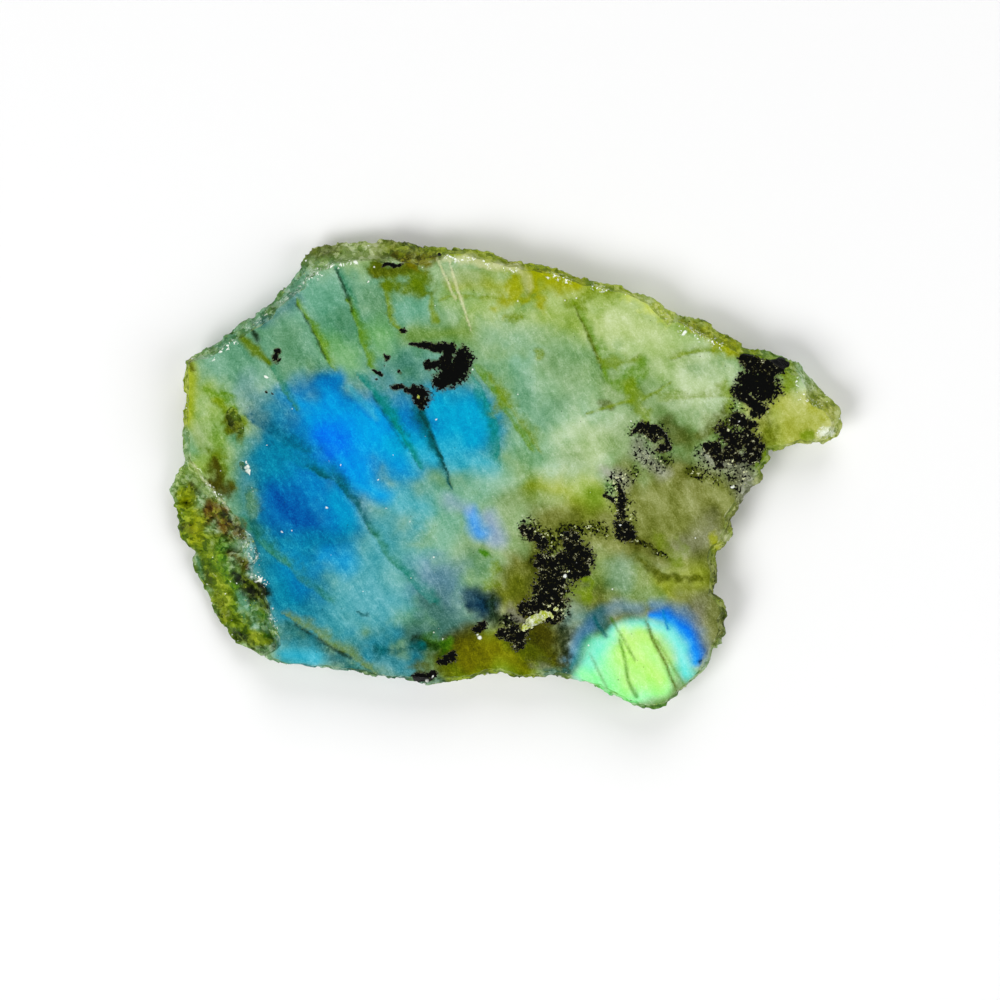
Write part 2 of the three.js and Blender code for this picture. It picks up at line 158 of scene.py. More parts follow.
WASHES = (
    # round the rim
    (MOSS, 0.95, 0.5, (-46, 17.6, 1.6), (-38, 22.8, 1.7), (-30, 30.4, 1.7)),
    (KHAKI, 0.95, 0.5, (-29, 31.2, 1.7), (-24, 32.8, 1.7), (-18, 33, 1.7), (-9, 32.6, 1.3)),
    (FADED, 0.95, 0.3, (-23, 31.6, 1.4), (-18.6, 31.6, 1.3)),
    (DARK_OLIVE, 0.9, (-17, 32, 1.2), (-14, 32.4, 1.4), (-11, 31.8, 1)),
    (KHAKI_YELLOW, 0.95, 0.4, (-9, 32.4, 1.3), (7, 30, 1.3), (20, 26, 1.4), (28, 21.4, 1.3),
     (35, 17, 1.2)),
    (CITRON, 0.9, 0.3, (10, 29.4, 0.8), (15, 28, 1.2), (20.6, 25.2, 1.3), (27.4, 21.6, 1)),
    (KHAKI_YELLOW, 0.9, 0.4, (38.4, 2.6, 1.2), (37, -1.6, 1.2), (33, -6, 1.4), (30.6, -12, 1.4),
     (31, -18, 1)),
    (SEA_GREY, 0.9, 0.3, (-30, -27.8, 1), (-20, -28.8, 1), (-8, -29.6, 1)),
    (DARK_OLIVE, 0.9, 0.4, (-8, -29.5, 0.9), (2, -28.9, 0.9), (9, -28.8, 0.8)),
    # the broad fields
    (SAGE, 1, 0.4, (-40, 16, 5), (-28, 20, 9), (-14, 18, 8), (-8, 4, 9)),
    (SAGE, 1, 0.4, (-34, -2, 6), (-30, -18, 8), (-12, -18, 8)),
    (KHAKI, 1, 0.4, (8, -8, 5), (20, -8, 7), (32, -4, 7)),
    (KHAKI, 1, 0.4, (28, -18, 6), (14, -20, 5), (2, -20, 5)),
    # the upper left
    (TEAL_PALE, 0.8, 0.1, (-30, 24, 2), (-25, 26, 2.4), (-16, 27.6, 1.6)),
    (GREY_GREEN, 0.5, (-31.4, 20, 2.2), (-31, 16, 2.4)),
    (LEAF, 0.8, (-26, 19, 2), (-22.6, 16.5, 2.2)),
    (GREY_GREEN, 0.8, (-19, 26, 2.2), (-17.4, 23, 2)),
    (LEAF, 0.9, (-18, 20, 2.4), (-17, 18, 2)),
    (GREY_TEAL, 0.8, (-17, 15, 2.2), (-12.5, 16, 2.6), (-11.5, 13, 2.8)),
    (TEAL_PALE, 0.85, (-28.4, 25.6, 1.8), (-26.4, 22.6, 2)),
    (LAGOON, 0.85, (-34, 22.2, 0.8), (-30.6, 24.6, 1)),
    # the left end
    (FRESH, 0.9, 0.1, (-43.6, 7, 2.6), (-41.4, 1, 3)),
    (FRESH, 0.9, (-43, 11.4, 1.3), (-41.4, 9.4, 1.6)),
    (GOLD_OLIVE, 0.9, 0.3, (-45.8, 15, 1.3), (-45.8, 9.5, 1.4), (-45, 5, 1.4)),
    (MINT_GREY, 0.9, (-45.4, 6.4, 0.9), (-44.8, 3.2, 1)),
    (PALE_SAGE, 0.7, (-43.4, 6.4, 1.4), (-43, 4, 1.2)),
    (SPRUCE, 0.7, (-38, 5.6, 1.1), (-36.4, 2.6, 1.2)),
    (SLATE, 0.4, (-36.6, 12.2, 2), (-34.4, 9, 2)),
    (GREY_GREEN, 0.7, (-37, 2.5, 1.8), (-36.8, -3, 1.6)),
    # the middle of the top
    (TEAL_PALE, 0.9, 0.2, (-15.2, 23.6, 1.5), (-12.6, 23.6, 1.6)),
    (OLIVE, 0.65, (-13, 20.5, 1.4), (-5, 20, 1.6)),
    (BUTTER, 0.8, (-3, 22, 1.8), (2, 22.6, 2)),
    (FRESH, 0.6, (-9, 24.6, 1.8), (-4, 24, 2), (0, 24.4, 1.8)),
    (KHAKI_YELLOW, 0.9, 0.1, (-7.6, 27.4, 1.4), (1, 27.6, 2), (8, 28, 2.4), (15, 25, 1.6)),
    (PALE_SAGE, 0.6, (-8.6, 28.6, 1.2), (-5, 28, 1.2)),
    # the middle
    (WILLOW, 0.9, 0.2, (0, 20, 3), (4, 14, 5), (9, 5, 5.5)),
    (TEAL_PALE, 0.7, (1.4, 16, 2.6), (3, 10.6, 3)),
    (MINT_GREY, 0.8, (7, 14, 3), (9, 7, 3.6), (5, 2, 3)),
    (WILLOW, 0.8, (0, 1, 2.4), (7, -1, 2.4)),
    (MINT_GREY, 0.7, (1.6, 5.4, 1.6), (4, 3.4, 2.2), (7, 2, 2)),
    (PALE_SAGE, 0.5, (6.6, 15, 2), (9.4, 13, 2.2)),
    (SAGE, 0.5, (3.6, 11.4, 1.6), (6, 9.4, 1.8)),
    (TEAL_PALE, 0.7, (-2, 3, 2.6), (-3, -2, 2.6)),
    # the right
    (BUTTER, 0.95, 0.2, (7, 23, 3), (12, 22, 3), (26, 20, 3)),
    (PRIMROSE, 1, 0.1, (16, 21, 3), (21, 20, 4)),
    (BONE, 0.8, (18.6, 18, 1.6), (22.6, 19, 2.2)),
    (BONE, 0.9, (24.5, 19.4, 1.6), (28, 18.4, 1.8)),
    (PALE_SAGE, 0.9, 0.2, (26, 12.5, 5), (20, 6, 4)),
    (MOSS, 0.5, (15, 12, 1.6), (19, 10.4, 1.6)),
    (BONE, 0.6, (23, 14, 2), (26, 12.6, 2.4), (30, 13.6, 2)),
    (PALE_SAGE, 0.9, 0.1, (11, 3.6, 3.2), (16, 5, 2.6)),
    (BONE, 0.5, (9.6, 6.6, 1.8), (13, 3.6, 1.8)),
    (KHAKI, 0.7, (17, 0, 1.8), (23, 1.4, 2)),
    (STRAW, 0.95, 0.5, (38, 8, 4.6), (45, 8, 5)),
    (OLIVE, 0.5, (37.4, 9, 1.3), (37.4, 5, 1.6)),
    # the lower right
    (KHAKI, 0.95, 0.3, (20, -5, 4.4), (29, -6, 5), (27, -16, 4)),
    (MOSS, 0.7, (30.6, 9, 1.6), (28, 4.6, 2.2)),
    (DARK_KHAKI, 0.7, (24, 6.6, 1.2), (27, 5, 1.6)),
    (DARK_KHAKI, 0.85, (24, 2, 2.2), (27.6, 0, 2.2)),
    (PEWTER, 0.8, (19.4, 4, 1.2), (21.6, 1.4, 1.3)),
    (PEWTER, 0.8, (15.2, 0, 1), (17.4, -0.8, 0.8)),
    (PEWTER, 0.85, (29.4, 2.4, 1.4), (33, 1.6, 2), (34.4, -1.6, 1.6)),
    (DARK_KHAKI, 0.6, (25, -3.4, 1.8), (28.6, -5.4, 1.8)),
    (ASH, 0.5, (26, -10, 2.2), (29, -8.4, 2)),
    (KHAKI, 0.8, (20, -2, 2), (24, -5, 2.4)),
    (KHAKI_YELLOW, 0.9, (4, -1.4, 1.6), (8, -1.6, 2.2), (12, -3, 2.2)),
    (MOSS, 0.7, (0.4, -3.4, 1.6), (6, -3, 1.6)),
    (BUTTER, 0.9, (11.2, -1.4, 1.6), (13, -3, 1.8)),
    (DARK_KHAKI, 0.4, (4, -7, 1.6), (15, -6.8, 1.2)),
    (DARK_KHAKI, 0.8, (18.4, -11, 1.6), (22, -12.4, 2)),
    (KHAKI_YELLOW, 0.7, (22, -15.6, 1.4), (27, -15, 1.8)),
    (WILLOW, 0.7, (18, -16.2, 1.5), (20.4, -16.8, 1.3)),
    (MOSS, 0.9, 0.2, (12, -13, 2.6), (18, -14.4, 2.6)),
    (DARK_KHAKI, 0.6, (12, -15.6, 2), (14, -17, 1.6)),
    (GREY_TEAL, 0.4, (16.5, -12.6, 1.6), (16.8, -15, 1.4)),
    # the bottom
    (TEAL_PALE, 0.9, 0.2, (-8, -6, 4), (-9, -11, 4)),
    (PALE_SAGE, 0.7, (0, -6, 2.4), (-4, -11.6, 2.6)),
    (GREY_GREEN, 0.8, (-4.6, -12.4, 1.5), (-2.4, -13.2, 1.8)),
    (KHAKI, 0.9, 0.1, (3, -11.6, 2.6), (1.6, -16, 2.4)),
    (DARK_OLIVE, 0.6, (0, -14.4, 1.4), (1.6, -16.4, 1.6)),
    (DARK_KHAKI, 0.9, (3.4, -13, 2), (2.4, -17, 2)),
    (PALE_TEAL, 0.95, 0.2, (-16, -11, 4.4), (-18, -18, 4.4), (-24, -20, 4)),
    (TEAL_PALE, 0.6, (-14.4, -10.6, 2), (-15.4, -13.8, 2)),
    (SLATE, 0.85, (-9.5, -14.6, 3), (-8, -18, 2.6)),
    (SEA_GREY, 0.95, (-9.6, -18.4, 1.8), (-8, -21.4, 2.6), (-12.6, -23.6, 1.8)),
    (SEA_GREY, 0.8, (-5, -21.4, 1.8), (-2.4, -19, 1.8)),
    (TEAL_BLUE, 0.6, (-31, -24, 2), (-24, -26, 1.6), (-17, -23.4, 1.6)),
    (TEAL_BLUE, 0.7, (-18.6, -26, 1.4), (-13, -27, 1.4)),
    (DARK_OLIVE, 0.8, (0, -17.4, 1.6), (2, -15.6, 1.4)),
    (SEA_GREY, 0.9, (9.6, -19.4, 2), (12.4, -20.4, 1.6)),
    (OLIVE, 0.95, 0.5, (-7, -27, 2.6), (-2, -25.6, 3), (2.5, -26.2, 3)),
    (DARK_OLIVE, 0.95, 0.1, (-8.4, -26.4, 2), (-4, -24, 2.2), (-1, -24.6, 1.4)),
    (BROWN_OLIVE, 0.85, (-8.6, -25, 1.3), (-5, -22.6, 1.3)),
    (BRONZE, 0.8, (-4.6, -26.2, 1.6), (-0.6, -25.4, 1.8), (3, -26.8, 1.6)),
    (DARK_OLIVE, 0.95, 0.1, (3.6, -21, 2), (5.4, -24.4, 2.4), (8.4, -26.6, 1.8)),
    (BROWN_OLIVE, 0.8, (3, -20, 1.6), (5.6, -24, 2), (7.6, -26.4, 1.4)),
    # touches over them
    (PRIMROSE, 0.8, (6.4, 24.8, 1.3), (9, 23.8, 1.6)),
    (SAGE, 0.4, (-3, 19.8, 1.8), (2.4, 18.6, 2)),
    (GREY_GREEN, 0.3, (3, 12, 2), (6, 9.6, 2)),
    (WILLOW, 0.6, (1.4, -9.8, 1), (2.6, -10.6, 1)),
    (PRIMROSE, 0.5, (14, 22.8, 2), (19, 21, 2.6), (23, 18.4, 2)),
    (BONE, 0.35, (24, 13, 2), (29.6, 12, 2)),
    (OLIVE, 0.75, (34.4, 17.6, 0.8), (37.4, 16.8, 0.9), (40.2, 14.8, 1)),
)

FLASH = (
    # its field
    (TEAL_BLUE, 0.8, (-33, 8.6, 2.4), (-34, 0, 3), (-33, -12, 3.4), (-30, -19, 3.4)),
    (BLUE, 0.95, 0.2, (-24, 9, 3.6), (-16, 7, 4.6), (-6, 7, 4.2)),
    (BLUE, 0.95, 0.3, (-28, 6, 4.4), (-29.6, -3, 5)),
    (TEAL_BLUE, 0.9, 0.2, (-28.6, -10, 3.4), (-31, -16, 3.4)),
    (PALE_TEAL, 0.8, (-14, -3, 3), (-18, -8, 4), (-21, -15, 4.6)),
    (BLUE, 0.85, 0.1, (-22, -1, 3.4), (-25.4, -8, 3.4)),
    # its lobes
    (TEAL_BLUE, 0.8, (-32.6, 3, 2.6), (-33.4, -0.6, 2)),
    (AZURE, 0.9, (-25.4, 12.4, 1.4), (-25, 8.6, 2.4), (-21, 5, 3)),
    (BLUE, 0.85, (-30.6, 11.2, 1.5), (-27, 13, 1.7), (-24, 13.6, 1)),
    (VIVID_BLUE, 0.95, (-25.8, 6, 1.6), (-23.6, 4.2, 2.6), (-21.8, 1.4, 2.2)),
    (AZURE, 0.9, (-19, 7, 2.4), (-15, 2, 2.6)),
    (CYAN, 0.95, 0.1, (-9.4, 10, 2.2), (-5, 8.2, 2.8)),
    (CYAN, 0.9, (-15, 4.2, 1.8), (-9, 4, 2.4), (-4.6, 5.6, 2.4)),
    (PALE_CYAN, 0.8, (-7, 1.4, 1.5), (-3, 1.8, 1.6)),
    (PALE_CYAN, 0.5, (-13, 2.5, 1.3), (-7.5, 4, 1.3)),
    (PALE_CYAN, 0.5, (-17, -3, 1.4), (-12, -5, 1.6)),
    (AZURE, 0.9, (-21.6, 2, 1.8), (-20, -1.4, 1.8), (-17.4, -3, 1.2)),
    (AZURE, 0.7, (-29.6, 10, 1), (-27.6, 9, 1.6)),
    (BLUE, 0.9, (-27, -1.4, 1.6), (-24.4, -3.8, 2.2), (-23, -7, 1.8)),
    (CYAN, 0.6, (-24, -3.6, 1.2), (-22, -6.6, 1.4)),
    (DEEP_BLUE, 0.95, (-33, -3, 1.7), (-30.8, -5.2, 2.3), (-28.2, -7.2, 1.8)),
    (TEAL_BLUE, 0.6, (-28, -9.4, 1.2), (-22, -9, 1.4)),
    (AZURE, 0.6, (-26, -12, 1.2), (-22.8, -12.4, 1.6)),
    (BLUE, 0.6, (-30.6, -12.6, 2), (-28, -16, 2)),
    (PALE_CYAN, 0.95, (-31.4, -25.4, 1.2), (-27, -26.4, 1.2)),
    (LILAC, 0.8, (-2.2, -6, 1), (-1.2, -9.2, 1.2)),
    (PERIWINKLE, 0.95, (-4.8, -5.4, 0.8), (-3.2, -8.2, 1.1)),
    (LILAC, 0.5, (-7.6, -4, 1), (-5.4, -4.8, 0.8)),
    (NIGHT, 0.85, (-5.4, -17.2, 0.9), (-3, -18.6, 1.4), (-1.6, -18.4, 0.8)),
)

STAINS = (
    # along the top edge
    (BOG, 0.95, 0.3, (-18.5, 29.8, 1), (-15, 28.8, 2), (-12, 28.2, 2)),
    (DARK_OLIVE, 0.8, 0.1, (-18, 29.6, 1), (-14.4, 29.2, 1.2)),
    (BOG, 0.9, 0.3, (-16.4, 27, 1.2), (-12.6, 26.6, 1.5)),
    (BRONZE, 0.95, 0.1, (-15, 31.4, 1), (-11, 30.6, 1.4)),
    (OLIVE, 0.8, 0.2, (-10.4, 25, 0.5), (-9.8, 22.4, 0.6)),
    (CREAM, 0.7, (-8.6, 30.8, 0.5), (-5, 30.7, 0.6), (-2.6, 29.8, 0.5)),
    (OLIVE, 0.7, (-9, 25.3, 0.25), (-2, 25.5, 0.35), (3.4, 25, 0.25)),
    (YELLOW_OLIVE, 0.85, (-1.4, 31.4, 0.7), (0.8, 30.4, 0.9), (1.6, 27, 1.6), (0, 24.6, 1.4)),
    (CREAM, 0.8, 0.1, (-1.2, 30, 0.6), (1.6, 29.4, 0.7)),
    (YELLOW_OLIVE, 0.95, 0.1, (4.4, 28.8, 1.2), (7, 27.6, 2), (10, 27, 1.6)),
    (YELLOW_OLIVE, 0.85, (4, 27, 1.2), (5.4, 24.8, 1.2)),
    (CREAM, 0.4, (3, 28.4, 0.7), (3, 26.6, 0.8)),
    (OLIVE, 0.7, 0.1, (8.6, 24.6, 0.6), (10.8, 24.4, 0.9), (12.4, 26, 1)),
    (CITRON, 0.8, (13.6, 27.6, 0.7), (15.8, 27, 0.8), (19.6, 25, 1), (23.4, 22.8, 1)),
    (YELLOW_OLIVE, 0.75, 0.2, (25.5, 22, 0.7), (28.4, 20.6, 1.2), (31.4, 18.6, 1.6), (33.6, 18, 0.8)),
    # in the middle
    (OLIVE, 0.8, 0.2, (0.9, 22.8, 0.7), (1.9, 22.6, 0.8), (2.6, 22.6, 0.4)),
    (OLIVE, 0.75, 0.1, (4.8, 17.6, 0.6), (5, 16.8, 0.6)),
    (OLIVE, 0.6, (-1, 9.8, 1)),
    # beside the tall black seam
    (OLIVE, 0.7, (13.8, 16, 0.7), (16, 15.6, 1), (19, 16.6, 0.6)),
    (GREEN_OLIVE, 0.7, (15.4, 13, 1.2), (18.4, 14, 1.7), (20, 16, 0.8)),
    (OLIVE, 0.7, (17.8, 12.6, 1), (19.2, 10, 1), (20.4, 6.8, 0.6)),
    (DARK_OLIVE, 0.7, 0.2, (13.8, 10.2, 0.5), (15, 10, 0.7)),
    (DARK_OLIVE, 0.7, 0.1, (28.6, 6, 1.4), (31, 7.4, 1.6), (32.4, 9.6, 1)),
    (OLIVE, 0.7, 0.1, (31.4, 12.6, 0.8), (32.6, 10, 0.8)),
    (OLIVE, 0.85, 0.3, (40.6, 15.8, 1.2), (40.8, 13.4, 1.2), (40.2, 12, 0.6)),
    (DARK_OLIVE, 0.6, 0.1, (37.2, 8.6, 1), (37.4, 4.8, 1.4)),
    (OLIVE, 0.85, 0.2, (42.6, 5.4, 0.8), (43.6, 5.6, 0.8)),
    (YELLOW_OLIVE, 0.6, 0.2, (44, 10.4, 0.9), (46, 8.6, 1.1)),
    (OLIVE, 0.8, 0.3, (37, 3, 0.9), (36.6, 0.6, 1)),
    (WHITE, 0.75, 0.2, (45.6, 6, 0.7), (47, 5.9, 0.6)),
    # the lower right
    (DARK_OLIVE, 0.85, 0.2, (19, -12, 0.5), (22.4, -14.6, 0.8), (24.6, -15, 0.6), (29, -14.8, 0.4)),
    (BROWN_OLIVE, 0.6, (17.6, -9, 0.7), (20.6, -10, 1), (23.6, -11.8, 0.4)),
    (CREAM, 0.8, 0.2, (31.2, -8.2, 0.5), (32.2, -9, 0.6)),
    (YELLOW_OLIVE, 0.8, 0.1, (29.8, -8.8, 0.7), (30.4, -10.2, 0.7)),
    (CREAM, 0.8, 0.2, (35.8, -0.8, 0.4), (36.2, -1.6, 0.4)),
    (OLIVE, 0.5, (22, -9, 1.2), (25, -12, 1.4)),
    (OLIVE, 0.7, 0.1, (9, -13.8, 0.6), (12.4, -15, 0.7), (12, -17.4, 0.8), (9, -16.6, 1)),
    (OLIVE, 0.6, (-1.6, -13.4, 1.2), (-1.8, -15.8, 1.2)),
    # the bottom
    (GRASS, 0.95, 0.4, (-3.6, -11.2, 0.6), (-3, -11.4, 0.8)),
    (DARK_OLIVE, 0.7, (1.4, -24, 1.2), (3.6, -25.4, 1.2), (6.6, -27.4, 1)),
    (GRASS, 0.9, 0.2, (-11.4, -23.8, 1), (-9, -24.2, 1.2)),
    (BLACK_GREEN, 0.85, 0.1, (-12.6, -23.6, 0.9), (-9.4, -24.4, 1.1)),
    (DARK_SEA, 0.85, 0.1, (-18, -25.2, 0.9), (-12, -24.6, 0.7)),
    (DARK_OLIVE, 0.8, 0.1, (-12, -27.4, 1.2), (-8.6, -27.8, 1.4)),
    (BROWN_OLIVE, 0.85, 0.1, (4.6, -20.6, 1.3), (8, -25, 1.4), (8.4, -28, 1)),
    (ASH, 0.4, (3.6, -27.2, 0.8), (6, -27.6, 0.8)),
    (DARK_SEA, 0.7, (6, -28.4, 0.8), (8.6, -28.4, 0.8)),
    (NIGHT, 0.7, (-5, -18.6, 0.7), (-3, -19.4, 1)),
    (BLACK_GREEN, 0.9, (-1.8, -17.8, 0.9), (-1.4, -20.2, 1.2), (1, -20.8, 1)),
    (BLACK_GREEN, 0.85, (8.6, -20.8, 1), (8.4, -24.8, 1.3)),
    (ASH, 0.7, 0.1, (1, -19, 0.9), (2, -20.4, 0.8)),
    # the left end
    (GREEN_OLIVE, 0.8, 0.1, (-42.8, 12.2, 0.8), (-40.4, 11.2, 1.4), (-38.8, 9.8, 1)),
    (OLIVE, 0.9, 0.3, (-41.6, 10.6, 0.6), (-39.8, 9.2, 1), (-38.4, 7.4, 1.8)),
    (GREEN_OLIVE, 0.5, (-40.4, 8, 1.6), (-40.6, 4, 1.6)),
    (DARK_OLIVE, 0.9, 0.1, (-39.6, 8.4, 0.9), (-38.4, 6.4, 1.1)),
    (BLACK, 0.9, (-39, 7.4, 0.35)),
    (BOG, 0.95, (-41.6, 3, 0.9), (-41, 0.8, 1.7), (-40.4, -1.2, 1.7)),
    (BROWN_OLIVE, 0.95, 0.2, (-41.4, 1.8, 0.7), (-41.2, -0.8, 1.5), (-40.2, -2.2, 1.4)),
    (DARK_OLIVE, 0.9, 0.4, (-45.4, 15.9, 0.5), (-44.7, 15, 0.5)),
    (GREY_GREEN, 0.7, 0.1, (-36.4, -3.4, 1.4), (-36.2, -5.4, 1)),
)

# Where one layer of the stone ends over the next: soft on the left of the path, steep on its right.
FOLDS = (
    # left of the flash
    (SPRUCE, 0.75, (-33.8, 16, 0.7), (-31.8, 12.4, 0.8), (-30, 9.4, 0.4)),
    (GREEN_OLIVE, 0.9, 0.1, (-29.8, 24.8, 0.5), (-27.4, 20.4, 0.9), (-25, 15.6, 0.9)),
    (SPRUCE, 0.8, (-24.4, 29.4, 0.7), (-22.2, 25.2, 0.9), (-21, 21, 0.6)),
    (GREEN_OLIVE, 0.85, 0.1, (-22.6, 25, 0.5), (-20.8, 20.4, 0.9), (-19.4, 15.4, 1)),
    (OLIVE, 0.8, 0.1, (-17.4, 27.4, 0.8), (-16.6, 22.4, 0.8), (-15, 20.6, 0.4)),
    # through the flash
    (DEEP_TEAL, 0.75, (-36.6, 8, 1.2), (-32, 5, 1.6), (-28.4, 3.4, 0.8)),
    (SEA, 0.85, 0.1, (-20.6, 13.6, 0.9), (-17.4, 9.8, 1.3), (-14.6, 5.2, 0.9), (-12.4, 0.8, 0.4)),
    (DARK_SEA, 0.95, 0.2, (-7.4, -2, 0.25), (-8.6, 1, 0.55), (-10.4, 5.4, 1), (-12, 9.6, 1.5)),
    (SEA, 0.7, (-0.9, 2.8, 0.8), (-1.6, 8.6, 1.2), (-4, 13.4, 0.8)),
    (TEAL_BLUE, 0.7, (-32.6, 4, 1.4), (-29.4, 1.6, 2), (-25, 0, 1.4)),
    (DARK_SEA, 0.8, 0.1, (-28, 1, 0.6), (-25, -0.4, 0.8), (-22.9, -2.2, 1), (-20.6, -5.6, 0.9),
     (-19, -8.2, 0.7)),
    (SPRUCE, 0.6, (-19.4, -7.4, 0.8), (-17.2, -10.8, 1), (-14.2, -14.4, 0.7)),
    (SEA, 0.5, (-14.6, -14, 1.2), (-10.6, -18, 1)),
    (SPRUCE, 0.85, (-37.6, -7, 1), (-34.8, -9.8, 1.2), (-31.4, -12.8, 0.9)),
    (SPRUCE, 0.5, (-31.8, -12, 1), (-28.4, -15.6, 1.2), (-25, -18, 0.7)),
    (DARK_SEA, 0.7, (-37, -3, 1.2), (-36.2, -9, 1.3)),
    # right of the flash
    (GREEN_OLIVE, 0.75, (-4.2, 15.2, 0.7), (-1, 11, 1), (1.6, 6.4, 1), (3.8, 3.6, 0.5)),
    (OLIVE, 0.6, (-2, 13.6, 0.7), (0.6, 10, 1), (3, 6.4, 0.9), (5, 3.4, 0.4)),
    (GREEN_OLIVE, 0.8, (9.6, 24.6, 0.5), (11.2, 21.4, 0.8), (13, 17.6, 0.8), (14, 14.6, 0.6)),
    (OLIVE, 0.8, 0.1, (24, 16.4, 0.5), (27.6, 17.4, 0.7), (32, 18, 0.9)),
    (OLIVE, 0.55, (22.4, 10.6, 0.8), (28, 11.4, 0.8), (33, 11.2, 0.8)),
    # across the lower left
    (MOSS, 0.7, (-31.4, -20, 0.6), (-26.4, -23, 1), (-22, -25.6, 0.8), (-19, -28.4, 0.5)),
    (DARK_SEA, 0.6, (-20, -28.6, 0.8), (-26.6, -24, 1), (-31, -21.2, 0.8)),
)

SEAMS = (
    (BOG, 0.95, 0.3, (-37.6, 19.4, 0.7), (-35.6, 17.8, 0.9), (-33.6, 16, 0.5)),
    (BLACK_GREEN, 0.9, 0.1, (-36, 20.6, 0.4), (-35.4, 19.2, 0.5)),
    (BLACK_GREEN, 0.6, (-29.8, 24.4, 0.15), (-27.2, 20, 0.2), (-25.6, 16.6, 0.15)),
    (BLACK_GREEN, 0.8, 0.2, (-24.2, 29.4, 0.2), (-22.4, 25.4, 0.25), (-21.8, 23.4, 0.15)),
    (BLACK_GREEN, 0.6, 0.1, (-12.2, 9, 0.2), (-9.8, 4.4, 0.25), (-7.6, -1.6, 0.15)),
    (DARK_SEA, 0.6, (-19, 11.4, 0.2), (-14.2, 3.8, 0.2)),
    (BLACK_GREEN, 0.8, (-30, -21.4, 0.2), (-26.4, -23.6, 0.3), (-22, -26.2, 0.35)),
    (DARK_SEA, 0.9, 0.3, (-21.2, -19.5, 0.1), (-20.2, -20, 0.24), (-19.4, -19.9, 0.1)),
    (PALE_CYAN, 0.5, (-22.4, 12.6, 0.5), (-19.6, 9.4, 0.7), (-18.4, 8, 0.4)),
    (DARK_OLIVE, 0.7, (9.9, 24.2, 0.15), (12.2, 19.4, 0.25), (13.8, 15.4, 0.2)),
    (OLIVE, 0.8, 0.1, (11.6, 8.8, 0.2), (15, 9.8, 0.3), (18, 10.6, 0.3)),
    (OLIVE, 0.8, 0.1, (19.6, 10.8, 0.4), (22, 12, 0.3), (23.8, 13.2, 0.15)),
    (CREAM, 0.9, 0.1, (-9.7, 31, 0.2), (-7, 25, 0.2)),
    (CREAM, 0.9, 0.1, (-8, 30.6, 0.2), (-6.2, 25, 0.25), (-4.8, 20.6, 0.15)),
)

# The green flash of the knob, from under to over.
KNOB = (
    (ASH, 0.9, 0.3, (28.6, -20, 2.6), (28.4, -24.6, 2.4)),
    (KHAKI, 0.8, 0.2, (30, -19, 2), (30, -23, 2)),
    (LAGOON, 0.9, (9.6, -27.4, 1.2), (11.4, -23.4, 1.6)),
    (SEA, 0.7, (9.6, -26.6, 1), (11.2, -24.2, 1.2)),
    (SLATE_BLUE, 0.6, (9, -26.4, 0.8), (10.2, -23.4, 1), (12.6, -20.8, 1)),
    (SLATE, 0.7, (13.6, -20, 0.8), (16, -19, 1), (19, -19, 0.8)),
    (DARK_SEA, 0.7, (13.4, -19.6, 1), (14.2, -21.6, 1)),
    (SLATE_BLUE, 0.7, (21, -18.4, 0.7), (25, -19.6, 0.9), (27.4, -22.6, 1), (28.4, -26.6, 1)),
    (KNOB_BLUE, 0.95, 0.1, (20.6, -19.8, 0.5), (23, -20.2, 0.9), (25.8, -22.4, 1.1), (27.2, -25.6, 1.1),
     (27.2, -27, 0.6)),
    (KNOB_ICE, 0.95, (10.8, -29.4, 0.9), (13.2, -26, 1), (15.6, -22.4, 0.7), (20, -21.2, 1),
     (23, -22.2, 1.2), (25.2, -24.8, 1.2), (26.2, -28.6, 0.9)),
    (KNOB_MINT, 0.98, 0.4, (11.6, -28.6, 1.4), (15, -27, 3.4), (20, -26.6, 3.6), (22.4, -28, 2.2)),
    (KNOB_MINT, 0.98, 0.5, (13, -30, 1.4), (18, -31.4, 1.8), (22.6, -30, 1.4)),
    (KNOB_LIME, 0.9, (17, -22.6, 1), (19, -26.6, 2.4), (22, -29, 1.8)),
    (KNOB_LIME, 0.85, (19, -22.6, 1.1), (21.4, -23.8, 1.3), (23, -26.4, 1.2)),
    (KNOB_LIME, 0.7, (16.4, -25, 1.4), (17.4, -29.6, 1.6)),
    (KNOB_ICE, 0.5, (12, -27, 1), (13.6, -24.6, 1)),
)

# The lines and specks that cross it.
LINES = (
    (GRASS, 0.7, (10, -31.2, 0.4), (14, -32.8, 0.5), (18, -33.8, 0.8), (23, -33, 0.6)),
    (DARK_SEA, 0.8, (12.8, -20.4, 0.3), (14.4, -23, 0.3)),
    (GRASS, 0.6, (15.2, -20.4, 0.16), (18.6, -26.4, 0.18)),
    (GREEN_OLIVE, 0.6, (21.8, -23.6, 0.2), (23.8, -27, 0.22), (25.6, -30, 0.2)),
    (GRASS, 0.4, (20, -21, 0.3), (22.6, -26.2, 0.4), (24.4, -30.6, 0.3)),
    (DARK_OLIVE, 0.85, (20.2, -20.8, 0.14), (21.2, -23.6, 0.2), (23, -26.8, 0.2), (24.6, -30.8, 0.16)),
    (GRASS, 0.75, (16.4, -23.6, 0.16), (17.2, -26.8, 0.22), (17.7, -29.4, 0.22), (18.8, -31.8, 0.26)),
    (GRASS, 0.45, (12.2, -25.6, 0.16), (14.6, -30.4, 0.2)),
    (BLUE, 0.8, 0.2, (22.6, -19.4, 0.2), (23.3, -22, 0.2)),
    (NIGHT, 0.9, 0.3, (27.8, -26.8, 0.28), (28.1, -26.5, 0.2)),
)

